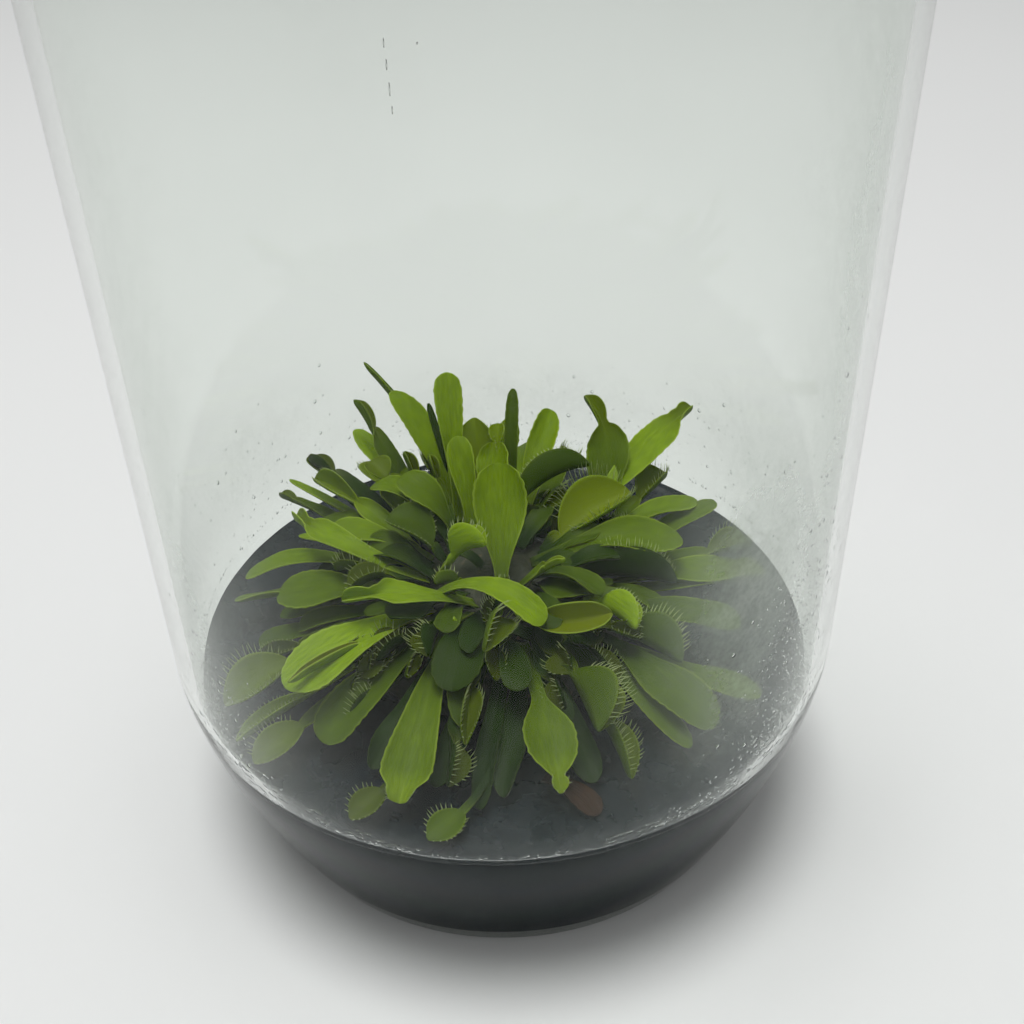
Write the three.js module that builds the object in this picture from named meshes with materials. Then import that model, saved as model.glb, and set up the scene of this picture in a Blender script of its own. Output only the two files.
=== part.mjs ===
// A clump of young Venus flytraps growing in a round glass culture jar.
// Units are millimetres, +Z is up, and the origin is the centre of the jar's base.
// The jar stands on z = 0 and holds a bed of black charcoal gel. The plants share one mound of
// short rhizomes on the gel, and every leaf is one piece: a flat stalk that ends in its trap.

import * as THREE from "three";

// ---------------------------------------------------------------- driving dimensions

// Jar
const JAR_RADIUS = 37.5;
const JAR_HEIGHT = 118;
const WALL = 1.5;
const FLOOR = 3;
const HEEL_HEIGHT = 25.5; // the wall starts to curve in this far above the table
const HEEL_INSET = 10.6; // and ends this far in, at the edge of the flat base
const RIM_RADIUS = WALL / 2;
const ROUND_STEPS = 60; // steps round the jar's axis
const HEEL_STEPS = 8;
const RIM_STEPS = 4;

// Gel
const FIT_GAP = 0.3; // touching pieces keep this much between them
const GEL_TOP = 21;
const MENISCUS_RISE = 0.9;
const MENISCUS_WIDTH = 1.6;

// Rhizome mound
const MOUND = { x: -1.5, y: -1.5, radiusX: 15.5, radiusY: 14.5, height: 8 };
const MOUND_STEPS = 24;
const MOUND_RINGS = 5;

// Leaves
const LEAF_THICKNESS = 0.5;
const LEAF_START = 0.55; // a leaf starts this far above the mound
const NECK = 0.45; // half width where a stalk meets its trap
const STALK = 0.75; // half width where a stalk leaves the mound
const CUP = 14; // degrees that a blade's edges are lifted
const LEAST_SPREAD = 0.3; // share of its reach that the inside of a lobe keeps from the midrib's plane
const BLADE_WIDENS = { from: 0.05, to: 0.72 }; // shares of a blade's length between which it widens
const BLADE_ROUNDS = 0.76; // share of its length where its round end begins
const LOBE_FULLNESS = 0.7; // power that makes a lobe fuller than a plain arc as it falls
const TURN = { before: 0.15, after: 0.05 }; // shares of a leaf over which it takes its trap's angles
const LEAF_ACROSS = 4;
const BLADE_ROWS = [0, 0.3, 0.6, 0.78, 0.92, 1]; // closer where the end turns round
const TRAP_ROWS = [0, 0.12, 0.38, 0.65, 0.88, 1];

// ---------------------------------------------------------------- leaves, by hand from the photograph
//
// from   where the leaf leaves the mound: x, y
// to     its tip: x, y and height above the gel
// wide   greatest width of the blade
// arch   how far the middle is lifted above the straight line from end to end
// sway   how far the middle is pushed to the leaf's left
// trap   length along the midrib, reach of one lobe, gape between the lobes, roll of the trap

const LEAVES = {
  // back, left of the middle
  spear_leaf_back_left: { from: [-5.8, 10.5], to: [-15.5, 20, 23.5], wide: 1.5, sway: -1 },
  spoon_leaf_back_left: { from: [-4.5, 8], to: [-12.5, 17, 21], wide: 4.8, sway: -1.5 },
  folded_trap_back_left: {
    from: [-8.2, 9], to: [-17.5, 22, 17], wide: 3, arch: 1,
    trap: { length: 4.5, reach: 1.8, gape: 50, roll: -30 },
  },
  open_trap_back_left: {
    from: [-10.2, 6.5], to: [-16, 19.5, 9.5], wide: 2.6, arch: 1,
    trap: { length: 5, reach: 2.6, gape: 120, roll: 0 },
  },
  upright_leaf_back: {
    from: [-4.5, 6.5], to: [-5.5, 14.5, 25], wide: 3.4, trap: { length: 2.4, reach: 1, gape: 70, roll: 0 },
  },
  oval_leaf_back_left: { from: [-6.5, 6], to: [-12, 13.5, 11.5], wide: 4.2, arch: 1.2 },
  tongue_leaf_back_left: { from: [-5, 3.5], to: [-15, 10, 12.5], wide: 3, arch: 3 },
  heart_trap_left: {
    from: [-6.5, 0.5], to: [-12.8, 2.8, 13], wide: 2.2, arch: 1.5,
    trap: { length: 6.2, reach: 3.4, gape: 125, roll: -10 },
  },
  bright_trap_middle: {
    from: [-7, -2], to: [-1.5, -4.5, 14.5], wide: 1.6, arch: 1.5,
    trap: { length: 4.8, reach: 3, gape: 55, roll: 40 },
  },
  great_spoon_leaf: { from: [0, -5], to: [0.3, 3.8, 19.5], wide: 6.2 },
  olive_trap_back: {
    from: [-2, 7], to: [-2.5, 15.5, 18], wide: 2.2, trap: { length: 7.5, reach: 2, gape: 60, roll: 0 },
  },
  // left
  folded_trap_far_left: {
    from: [-11, 5], to: [-23.5, 18, 11.5], wide: 2.4, arch: 1,
    trap: { length: 4.5, reach: 2, gape: 50, roll: 30 },
  },
  toothed_trap_left: {
    from: [-9.5, 3], to: [-22.5, 14.5, 10.5], wide: 2.4, arch: 1.5,
    trap: { length: 7.5, reach: 2.6, gape: 50, roll: 20 },
  },
  forked_leaf_far_left: {
    from: [-12, 3.5], to: [-28, 18.5, 5.5], wide: 1.8, arch: 1.2,
    trap: { length: 3.2, reach: 1, gape: 70, roll: 0 },
  },
  long_leaf_left: {
    from: [-8.2, -2.2], to: [-24, 7, 10.5], wide: 3.4, arch: 1.5, sway: 3.2,
    trap: { length: 4.5, reach: 1.4, gape: 45, roll: 0 },
  },
  oblong_leaf_left: {
    from: [-13, 1.5], to: [-30.5, 4, 4.5], wide: 2.8, arch: 1.5,
    trap: { length: 6.5, reach: 1.8, gape: 45, roll: 40 },
  },
  pointed_leaf_left: { from: [-12.5, -1], to: [-32, 2.3, 2.2], wide: 2, arch: 0.5 },
  broad_leaf_left: {
    from: [-9, -5], to: [-25.5, -2, 6.5], wide: 6, arch: 1,
    trap: { length: 1.3, reach: 0.5, gape: 60, roll: 0 },
  },
  bright_leaf_left: {
    from: [-4, -7], to: [-17, -9.8, 11.3], wide: 3.4, arch: 0.8, sway: 1.4,
    trap: { length: 4.5, reach: 1.3, gape: 45, roll: 0 },
  },
  golden_leaf_left: {
    from: [-7.5, -7], to: [-22.5, -18.5, 8], wide: 6, arch: 1.5,
    trap: { length: 1.4, reach: 0.5, gape: 60, roll: 0 },
  },
  drooping_leaf_left: { from: [-7, -9], to: [-19, -21.5, 3], wide: 4.8, arch: 1 },
  misty_trap_left: {
    from: [-12.5, -6], to: [-29.5, -16.5, 3.8], wide: 3.2, arch: 1,
    trap: { length: 8, reach: 3.4, gape: 100, roll: 0 },
  },
  folded_trap_low_left: {
    from: [-11.5, -9], to: [-28, -19.7, 1.8], wide: 2, arch: 0.5,
    trap: { length: 8, reach: 1.6, gape: 60, roll: 0 },
  },
  trap_on_gel_left: {
    from: [-10.2, -10.2], to: [-25.8, -22.8, 1.6], wide: 2, arch: 0.5,
    trap: { length: 6, reach: 2.2, gape: 120, roll: 0 },
  },
  // middle and front
  arching_leaf_middle: {
    from: [-8.5, -5.5], to: [4.2, -14.8, 12], wide: 3.6, arch: 3.8,
    trap: { length: 1.2, reach: 0.5, gape: 60, roll: 0 },
  },
  dark_leaf_front: { from: [-2.6, -8.5], to: [-5.6, -20, 8], wide: 5.6, arch: 1.5 },
  ciliate_trap_front: {
    from: [-0.5, -7], to: [-2, -17.5, 11], wide: 2, arch: 1,
    trap: { length: 5.8, reach: 3.2, gape: 50, roll: 50 },
  },
  folded_trap_front: {
    from: [-3, -11], to: [-4.2, -25, 5.5], wide: 2, arch: 0.5,
    trap: { length: 6.8, reach: 2.3, gape: 50, roll: 15 },
  },
  dark_trap_front: {
    from: [-4, -12.5], to: [-6, -28, 2.8], wide: 1.8, arch: 0.5,
    trap: { length: 4.5, reach: 2.2, gape: 60, roll: 50 },
  },
  spoon_leaf_front_left: {
    from: [-6, -10.5], to: [-10.7, -30.2, 3], wide: 5.6, arch: 1.2,
    trap: { length: 1.8, reach: 0.9, gape: 60, roll: 0 },
  },
  round_trap_front_left: {
    from: [-8, -12], to: [-14.2, -31.2, 1.6], wide: 2, arch: 0.5,
    trap: { length: 5, reach: 2.4, gape: 120, roll: 0 },
  },
  trap_on_gel_front: {
    from: [-1.5, -14], to: [-5.2, -34, 1.3], wide: 1.8, arch: 0.2, sway: 1,
    trap: { length: 3.6, reach: 2.5, gape: 140, roll: 0 },
  },
  narrow_leaf_middle: {
    from: [1.5, -5], to: [7, -6.2, 13.5], wide: 2.2, arch: 0.5,
    trap: { length: 2.4, reach: 0.7, gape: 50, roll: 0 },
  },
  ovate_leaf_middle: { from: [3, -3], to: [10.8, -9.2, 11], wide: 4, arch: 1.5 },
  boat_trap_middle: {
    from: [2, -8], to: [11.5, -12.3, 11], wide: 2, arch: 1, sway: -3,
    trap: { length: 8.2, reach: 2.8, gape: 70, roll: -30 },
  },
  bright_trap_right: {
    from: [8, -5], to: [14, -13.3, 9.5], wide: 1.8, arch: 1,
    trap: { length: 5.8, reach: 2.8, gape: 50, roll: 45 },
  },
  round_trap_right: {
    from: [8.5, -6.8], to: [18.8, -14.9, 6], wide: 2, arch: 0.5,
    trap: { length: 7.4, reach: 3.8, gape: 60, roll: 35 },
  },
  shaded_leaf_front: { from: [1, -10], to: [12, -14.5, 7], wide: 4.4, arch: 0.5 },
  round_trap_front: {
    from: [5, -10.5], to: [9, -25.3, 7], wide: 2, arch: 1,
    trap: { length: 7.8, reach: 4.2, gape: 60, roll: 50 },
  },
  spoon_leaf_front: {
    from: [2, -11.5], to: [5, -30, 3.5], wide: 6, arch: 1.5,
    trap: { length: 2.2, reach: 0.9, gape: 60, roll: 0 },
  },
  narrow_leaf_front_right: { from: [8.5, -9.5], to: [18.5, -23.8, 2.5], wide: 2.6, arch: 0.6 },
  folded_trap_front_right: {
    from: [7, -11], to: [12, -28.5, 3.5], wide: 2, arch: 0.5,
    trap: { length: 7.2, reach: 2.3, gape: 50, roll: 30 },
  },
  misty_leaf_front_right: { from: [10, -8.5], to: [21, -22.5, 3.8], wide: 5.6, arch: 1.2 },
  // right
  bud_leaf_back: { from: [1, 7], to: [2.3, 18.5, 20], wide: 1.8 },
  oval_leaf_back_right: { from: [2.5, 7.5], to: [7, 20.5, 15.5], wide: 3.6, arch: 1 },
  toothed_trap_back_right: {
    from: [2, 2.5], to: [11, 10, 14.5], wide: 2.2, arch: 1,
    trap: { length: 10, reach: 3.6, gape: 40, roll: 10 },
  },
  great_trap_right: {
    from: [5, 2.2], to: [15.8, 9, 12.2], wide: 2.4, arch: 0.8,
    trap: { length: 10, reach: 4.8, gape: 90, roll: -20 },
  },
  eared_leaf_back_right: {
    from: [7.5, 7], to: [11.2, 23, 15], wide: 4.8, arch: 1,
    trap: { length: 5, reach: 1.3, gape: 50, roll: 0 },
  },
  long_leaf_right: {
    from: [7.5, 4.5], to: [25, 22, 14], wide: 4, arch: 1.5,
    trap: { length: 6, reach: 1.8, gape: 50, roll: 0 },
  },
  misty_trap_back_right: {
    from: [10, 4], to: [19, 18, 9], wide: 2.2, arch: 0.5,
    trap: { length: 5.4, reach: 3, gape: 70, roll: 0 },
  },
  blade_leaf_right: { from: [3.5, -0.5], to: [21, 1, 9.8], wide: 5.2, arch: 1.7 },
  dark_trap_right: {
    from: [7, -2], to: [20, -2.5, 6.5], wide: 2.2, arch: 0.8,
    trap: { length: 11, reach: 4, gape: 60, roll: -60 },
  },
  curled_leaf_right: { from: [11.5, 2], to: [26.3, 8.8, 9], wide: 3, arch: 0.6 },
  misty_trap_right: {
    from: [12.5, 0], to: [30, 5, 5], wide: 2.6, arch: 1,
    trap: { length: 5.6, reach: 2.8, gape: 70, roll: 0 },
  },
  misty_leaf_right: { from: [11, -5], to: [26.5, -8, 4.5], wide: 5.4, arch: 0.6 },
  // back, out of sight of the photograph
  hidden_leaf_back: {
    from: [-1, 11], to: [-3, 29, 6], wide: 3.6, arch: 1.5,
    trap: { length: 5, reach: 2.2, gape: 70, roll: 0 },
  },
};

const DEAD_LEAF = { from: [3.5, -25.6, 0.7], to: [8.5, -30.6, 0.7], wide: 2.6, arch: 0.4, sway: 0.6 };

// ---------------------------------------------------------------- colours

const COLOURS = {
  glass: { color: 0xdfe6e2, roughness: 0.05, metalness: 0, transparent: true, opacity: 0.25 },
  gel: { color: 0x12181b, roughness: 0.25, metalness: 0 },
  rhizome: { color: 0x4a4326, roughness: 0.7, metalness: 0 },
  leaf: { color: 0x5c8a2a, roughness: 0.45, metalness: 0 },
  dead: { color: 0x5a2f22, roughness: 0.7, metalness: 0 },
};

// ---------------------------------------------------------------- jar and gel

// Radius of the wall at a height: straight above a soft heel that is a quarter of an ellipse.
// The inside has the same shape, set in by the wall and standing on its own foot.
function wallRadius(height, inset, foot) {
  const below = Math.min(1, Math.max(0, (HEEL_HEIGHT - height) / (HEEL_HEIGHT - foot)));
  return JAR_RADIUS - inset - HEEL_INSET * (1 - Math.sqrt(1 - below * below));
}

// The wall's outline from a foot up to a height, with closer steps low down.
function wallPoints(inset, foot, top) {
  const points = [];
  for (let i = 0; i <= HEEL_STEPS; i++) {
    const height = foot + (top - foot) * (1 - Math.cos((Math.PI / 2) * (i / HEEL_STEPS)));
    points.push(new THREE.Vector2(wallRadius(height, inset, foot), height));
  }
  return points;
}

function turned(profile) {
  return new THREE.LatheGeometry(profile, ROUND_STEPS).rotateX(Math.PI / 2);
}

function glassJar() {
  const rim = [];
  for (let i = 0; i <= RIM_STEPS; i++) {
    const angle = (Math.PI * i) / RIM_STEPS;
    rim.push(
      new THREE.Vector2(
        JAR_RADIUS - RIM_RADIUS + RIM_RADIUS * Math.cos(angle),
        JAR_HEIGHT - RIM_RADIUS + RIM_RADIUS * Math.sin(angle),
      ),
    );
  }
  return turned([
    new THREE.Vector2(0, 0),
    ...wallPoints(0, 0, HEEL_HEIGHT),
    ...rim,
    ...wallPoints(WALL, FLOOR, HEEL_HEIGHT).reverse(),
    new THREE.Vector2(0, FLOOR),
  ]);
}

function agarGel() {
  const bottom = FLOOR + FIT_GAP;
  const inset = WALL + FIT_GAP;
  const brim = GEL_TOP + MENISCUS_RISE;
  const edge = wallRadius(brim, inset, bottom);
  return turned([
    new THREE.Vector2(0, bottom),
    ...wallPoints(inset, bottom, brim),
    new THREE.Vector2(edge - MENISCUS_WIDTH / 3, GEL_TOP + MENISCUS_RISE / 3),
    new THREE.Vector2(edge - MENISCUS_WIDTH, GEL_TOP),
    new THREE.Vector2(0, GEL_TOP),
  ]);
}

// ---------------------------------------------------------------- rhizome mound

function moundHeight(x, y) {
  const out = Math.hypot((x - MOUND.x) / MOUND.radiusX, (y - MOUND.y) / MOUND.radiusY);
  return MOUND.height * Math.sqrt(Math.max(0, 1 - out * out));
}

function rhizomeMound() {
  const profile = [new THREE.Vector2(0, 0)];
  for (let i = 0; i <= MOUND_RINGS; i++) {
    const angle = (Math.PI / 2) * (i / MOUND_RINGS);
    profile.push(new THREE.Vector2(Math.cos(angle), MOUND.height * Math.sin(angle)));
  }
  profile[profile.length - 1].x = 0;
  return new THREE.LatheGeometry(profile, MOUND_STEPS)
    .rotateX(Math.PI / 2)
    .scale(MOUND.radiusX, MOUND.radiusY, 1)
    .translate(MOUND.x, MOUND.y, GEL_TOP + FIT_GAP);
}

// ---------------------------------------------------------------- leaf shape

function smoothstep(from, to, value) {
  const t = Math.min(1, Math.max(0, (value - from) / (to - from)));
  return t * t * (3 - 2 * t);
}

// Half width of a blade: narrow stalk, widest near two thirds, round end.
function bladeHalfWidth(along, wide) {
  const rise = smoothstep(BLADE_WIDENS.from, BLADE_WIDENS.to, along);
  const past = Math.min(1, Math.max(0, (along - BLADE_ROUNDS) / (1 - BLADE_ROUNDS)));
  const stalk = Math.min(STALK, wide / 2);
  return NECK + (stalk - NECK + (wide / 2 - stalk) * rise) * Math.sqrt(1 - past * past);
}

// Half width of a trap: one lobe, shaped like a D on the midrib.
function trapHalfWidth(along, reach) {
  return NECK + (reach - NECK) * Math.sin(Math.PI * along) ** LOBE_FULLNESS;
}

// The middle line of a leaf: a curve through its start, its lifted middle and its tip.
function middleLine(leaf, start) {
  const tip = new THREE.Vector3(leaf.to[0], leaf.to[1], GEL_TOP + leaf.to[2]);
  const heading = new THREE.Vector3(tip.x - start.x, tip.y - start.y, 0).normalize();
  const left = new THREE.Vector3(-heading.y, heading.x, 0);
  const middle = start.clone().add(tip).multiplyScalar(0.5);
  middle.z += 2 * (leaf.arch ?? 0);
  middle.addScaledVector(left, 2 * (leaf.sway ?? 0));
  return new THREE.QuadraticBezierCurve3(start, middle, tip);
}

// Bends a flat box into the leaf: rows along the middle line, columns out to both edges.
function leafGeometry(leaf, start) {
  const line = middleLine(leaf, start);
  const trap = leaf.trap;
  const trapStart = trap ? 1 - trap.length / line.getLength() : 1;
  const bladeRows = BLADE_ROWS.length - 1;
  const rows = bladeRows + (trap ? TRAP_ROWS.length - 1 : 0);
  const geometry = new THREE.BoxGeometry(1, 1, 1, LEAF_ACROSS, rows, 1);
  const position = geometry.attributes.position;
  const point = new THREE.Vector3();
  for (let i = 0; i < position.count; i++) {
    const row = Math.round((position.getY(i) + 0.5) * rows);
    const across = position.getX(i) * -2;
    const face = position.getZ(i) * 2;
    const inTrap = row > bladeRows;
    const along = inTrap ? TRAP_ROWS[row - bladeRows] : BLADE_ROWS[row];
    const share = inTrap ? trapStart + (1 - trapStart) * along : trapStart * along;
    const halfWidth = inTrap ? trapHalfWidth(along, trap.reach) : bladeHalfWidth(along, leaf.wide);
    const turn = trap ? smoothstep(trapStart - TURN.before, trapStart + TURN.after, share) : 0;
    const trapLift = trap ? 90 - trap.gape / 2 : 0;
    const lift = THREE.MathUtils.degToRad(CUP + (trapLift - CUP) * turn);
    const roll = THREE.MathUtils.degToRad(trap ? trap.roll * turn : 0);
    const tangent = line.getTangentAt(share);
    const flat = new THREE.Vector3(-tangent.y, tangent.x, 0).normalize();
    const up = new THREE.Vector3().crossVectors(tangent, flat);
    const side = flat.clone().applyAxisAngle(tangent, -roll);
    const open = up.clone().applyAxisAngle(tangent, -roll);
    const out = Math.abs(across) * halfWidth;
    const sign = Math.sign(across);
    const thick = (face * LEAF_THICKNESS) / 2;
    const spread = Math.max(out * Math.cos(lift) - thick * Math.sin(lift), out * LEAST_SPREAD);
    point.copy(line.getPointAt(share));
    point.addScaledVector(side, sign * spread);
    point.addScaledVector(open, out * Math.sin(lift) + thick * (sign === 0 ? 1 : Math.cos(lift)));
    position.setXYZ(i, point.x, point.y, point.z);
  }
  return geometry;
}

function startOnMound(leaf) {
  const [x, y] = leaf.from;
  return new THREE.Vector3(x, y, GEL_TOP + FIT_GAP + moundHeight(x, y) + LEAF_START);
}

// ---------------------------------------------------------------- the whole object

const group = new THREE.Group();

function add(name, geometry, colours) {
  const mesh = new THREE.Mesh(geometry, new THREE.MeshStandardMaterial(colours));
  mesh.name = name;
  group.add(mesh);
}

add("glass_jar", glassJar(), COLOURS.glass);
add("agar_gel", agarGel(), COLOURS.gel);
add("rhizome_mound", rhizomeMound(), COLOURS.rhizome);
for (const [name, leaf] of Object.entries(LEAVES)) {
  add(name, leafGeometry(leaf, startOnMound(leaf)), COLOURS.leaf);
}
const [deadX, deadY, deadZ] = DEAD_LEAF.from;
add(
  "dead_leaf",
  leafGeometry(DEAD_LEAF, new THREE.Vector3(deadX, deadY, GEL_TOP + deadZ)),
  COLOURS.dead,
);

export default group;
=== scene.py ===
# %% [markdown]
# # Young Venus flytraps in a culture jar
#
# A clump of flytraps grows on black charcoal gel inside a round glass jar. The jar, the gel and the
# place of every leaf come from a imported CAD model, and this lesson gives them their looks: leaves with
# soft edges and toothed traps, wet gel, clear glass and the mist on its inside.

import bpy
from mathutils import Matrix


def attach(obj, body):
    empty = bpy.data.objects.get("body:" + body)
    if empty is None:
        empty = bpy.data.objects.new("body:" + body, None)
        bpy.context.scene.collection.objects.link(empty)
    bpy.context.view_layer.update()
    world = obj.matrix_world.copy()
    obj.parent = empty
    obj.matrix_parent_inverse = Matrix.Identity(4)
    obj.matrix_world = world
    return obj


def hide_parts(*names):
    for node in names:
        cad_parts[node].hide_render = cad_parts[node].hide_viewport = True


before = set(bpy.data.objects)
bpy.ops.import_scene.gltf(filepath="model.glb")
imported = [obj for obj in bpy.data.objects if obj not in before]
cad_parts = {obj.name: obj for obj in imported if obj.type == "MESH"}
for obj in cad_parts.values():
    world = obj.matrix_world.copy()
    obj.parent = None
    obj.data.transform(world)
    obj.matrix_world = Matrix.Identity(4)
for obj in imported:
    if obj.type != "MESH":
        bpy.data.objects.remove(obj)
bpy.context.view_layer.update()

import math

import bpy
import numpy as np
from mathutils import Matrix

print("CAD nodes:", len(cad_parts))

# %% [markdown]
# The real jar is about 75 mm wide. Blender works in metres, but millimetres read better for something
# this small, so every size below is in millimetres and is scaled once, when a mesh is made. The outside
# of the jar, the top of the gel and the crown have the sizes of the CAD model, because the looks have to
# sit on it. The glass floor is thinner and the heel steeper than there: they bring the black gel down to
# a crisp foot, which is how the real jar looks from this angle.

# %% Sizes of the jar, the gel and the crown
MM = 0.001
JAR_RADIUS, JAR_HEIGHT = 37.5, 118.0
WALL, FLOOR = 1.5, 1.2
HEEL_HEIGHT, HEEL_INSET, HEEL_BEND = 25.5, 7.8, 1.5
GEL_TOP = 21.0
FIT_GAP = 0.3
CROWN_X, CROWN_Y = -1.5, -1.5
CROWN_RADIUS_X, CROWN_RADIUS_Y, CROWN_HEIGHT = 15.5, 14.5, 8.0
LEAF_START = 0.55
print("jar", 2 * JAR_RADIUS, "mm wide and", JAR_HEIGHT, "mm high")

# %% [markdown]
# The photograph looks down at the jar from close by. A camera's direction is easiest to state as
# three angles: how far it looks down, how far it is turned to the side, and how far it leans. The lens
# is a moderate one, so the jar narrows a little towards its foot.

# %% Camera
CAMERA_AT = (0.0, -115.25, 123.53)
LOOKS_DOWN = math.radians(37.18)
TURNED = math.radians(0.734)
LEANS = math.radians(-1.772)
LENS, SENSOR = 45.70, 36.0


def camera_axes(down, turned, leans):
    """The camera's right, up and backward directions as the columns of a rotation."""
    ahead = np.array([
        math.sin(turned) * math.cos(down),
        math.cos(turned) * math.cos(down),
        -math.sin(down),
    ])
    level = np.array([math.cos(turned), -math.sin(turned), 0.0])
    upward = np.cross(level, ahead)
    right = level * math.cos(leans) + upward * math.sin(leans)
    up = -level * math.sin(leans) + upward * math.cos(leans)
    return Matrix(np.column_stack([right, up, -ahead]).tolist())


camera_data = bpy.data.cameras.new("camera")
camera_data.lens = LENS
camera_data.sensor_width = SENSOR
camera_data.clip_start = 0.005
camera = bpy.data.objects.new("camera", camera_data)
bpy.context.scene.collection.objects.link(camera)
camera.matrix_world = camera_axes(LOOKS_DOWN, TURNED, LEANS).to_4x4()
camera.location = [c * MM for c in CAMERA_AT]
bpy.context.scene.camera = camera
print("lens", LENS, "mm, camera", CAMERA_AT[2], "mm above the table")

# %% [markdown]
# Nodes are added one after another in every material, so a small helper keeps that readable: it makes
# a node, sets its options, and either links or fills in each input that is named. What nearly every
# finish has, such as noise, bumps and a main surface, gets a short helper of its own.

# %% A helper for shader nodes
def add_node(tree, kind, inputs=None, **options):
    made = tree.nodes.new(kind)
    for option, value in options.items():
        setattr(made, option, value)
    for name, value in (inputs or {}).items():
        if isinstance(value, bpy.types.NodeSocket):
            tree.links.new(value, made.inputs[name])
        else:
            made.inputs[name].default_value = value
    return made


def new_material(name):
    material = bpy.data.materials.new(name)
    material.use_nodes = True
    material.node_tree.nodes.clear()
    return material, material.node_tree


def show(tree, shader):
    add_node(tree, "ShaderNodeOutputMaterial", {"Surface": shader})


def noise(tree, vector, scale, detail=3.0, roughness=0.5):
    made = add_node(
        tree, "ShaderNodeTexNoise",
        {"Vector": vector, "Scale": scale, "Detail": detail, "Roughness": roughness},
    )
    return made.outputs["Fac"]


def remap(tree, value, low, high, to_low=0.0, to_high=1.0):
    made = add_node(
        tree, "ShaderNodeMapRange",
        {"Value": value, "From Min": low, "From Max": high, "To Min": to_low, "To Max": to_high},
    )
    return made.outputs["Result"]


def combine(tree, operation, a, b):
    return add_node(tree, "ShaderNodeMath", {0: a, 1: b}, operation=operation).outputs[0]


def times(tree, a, b):
    return combine(tree, "MULTIPLY", a, b)


def mix_colours(tree, share, first, second):
    made = add_node(tree, "ShaderNodeMix", data_type="RGBA")
    for socket, value in ((made.inputs[0], share), (made.inputs[6], first), (made.inputs[7], second)):
        if isinstance(value, bpy.types.NodeSocket):
            tree.links.new(value, socket)
        elif isinstance(value, tuple):
            socket.default_value = (*value, 1.0)
        else:
            socket.default_value = value
    return made.outputs[2]


def object_place(tree):
    """Each point's own place in metres, which stays with the piece from every side."""
    return add_node(tree, "ShaderNodeTexCoord").outputs["Object"]


def attribute(tree, name):
    return add_node(tree, "ShaderNodeAttribute", attribute_name=name).outputs["Fac"]


def stretched(tree, vector, scale):
    return add_node(tree, "ShaderNodeMapping", {"Vector": vector, "Scale": scale}).outputs[0]


def bumps(tree, height, strength, distance):
    made = add_node(
        tree, "ShaderNodeBump", {"Height": height, "Strength": strength, "Distance": distance}
    )
    return made.outputs[0]


def surface(tree, colour, roughness, normal=None, shine=0.5):
    inputs = {"Base Color": colour, "Roughness": roughness, "Specular IOR Level": shine}
    if normal is not None:
        inputs["Normal"] = normal
    return add_node(tree, "ShaderNodeBsdfPrincipled", inputs).outputs[0]


def shine_through(tree, colour):
    return add_node(tree, "ShaderNodeBsdfTranslucent", {"Color": colour}).outputs[0]


def mix_shaders(tree, share, first, second):
    return add_node(tree, "ShaderNodeMixShader", {0: share, 1: first, 2: second}).outputs[0]


print("node helpers ready")

# %% [markdown]
# The plant is lit like a small thing on a white table in a bright room: light from all round, and one
# wide lamp overhead. A gradient from a brighter ceiling to greyer walls gives the glass something to
# mirror. A plain even world would leave the glass nearly invisible.

# %% Room light
SKY_TOP, SKY_SIDE = (1.0, 1.01, 1.0), (0.52, 0.53, 0.53)
SKY_STRENGTH = 0.52
LAMP_AT, LAMP_AIM, LAMP_SIZE, LAMP_POWER = (-40, 0, 700), (0, 0, 40), 330, 2.8
BLACK_POINT = 0.025


def room_light():
    world = bpy.data.worlds.new("room")
    world.use_nodes = True
    tree = world.node_tree
    tree.nodes.clear()
    direction = add_node(tree, "ShaderNodeTexCoord").outputs["Generated"]
    height = add_node(tree, "ShaderNodeSeparateXYZ", {"Vector": direction}).outputs["Z"]
    share = remap(tree, height, 0.1, 0.9)
    colour = mix_colours(tree, share, SKY_SIDE, SKY_TOP)
    light = add_node(tree, "ShaderNodeBackground", {"Color": colour, "Strength": SKY_STRENGTH})
    add_node(tree, "ShaderNodeOutputWorld", {"Surface": light.outputs[0]})
    bpy.context.scene.world = world


def wide_lamp(name, at, aim, size, power):
    data = bpy.data.lights.new(name, "AREA")
    data.shape = "DISK"
    data.size = size * MM
    data.energy = power
    lamp = bpy.data.objects.new(name, data)
    bpy.context.scene.collection.objects.link(lamp)
    lamp.location = [c * MM for c in at]
    away = Matrix(((at[0] - aim[0], 0, 0), (at[1] - aim[1], 0, 0), (at[2] - aim[2], 0, 0)))
    lamp.rotation_euler = away.col[0].to_track_quat("Z", "Y").to_euler()


room_light()
wide_lamp("ceiling_lamp", LAMP_AT, LAMP_AIM, LAMP_SIZE, LAMP_POWER)
view = bpy.context.scene.view_settings
view.view_transform = "Standard"
view.use_curve_mapping = True
view.curve_mapping.black_level = [BLACK_POINT] * 3
view.curve_mapping.update()

# %% [markdown]
# The jar stands on a plain white table. It is only a stage and not part of the object, so it is one
# large flat mesh with a matt, very faintly uneven white.

# %% White table
TABLE_HALF = 3000.0


def table_white():
    material, tree = new_material("table_white")
    patchy = noise(tree, object_place(tree), 9.0)
    colour = mix_colours(tree, patchy, (0.80, 0.805, 0.80), (0.83, 0.835, 0.83))
    show(tree, surface(tree, colour, 0.6, shine=0.3))
    return material


table_mesh = bpy.data.meshes.new("table")
corners = [
    (x * TABLE_HALF * MM, y * TABLE_HALF * MM, 0) for x, y in ((-1, -1), (1, -1), (1, 1), (-1, 1))
]
table_mesh.from_pydata(corners, [], [(0, 1, 2, 3)])
table_mesh.materials.append(table_white())
table = bpy.data.objects.new("table", table_mesh)
bpy.context.scene.collection.objects.link(table)
print("table", 2 * TABLE_HALF * MM, "m wide")

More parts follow.
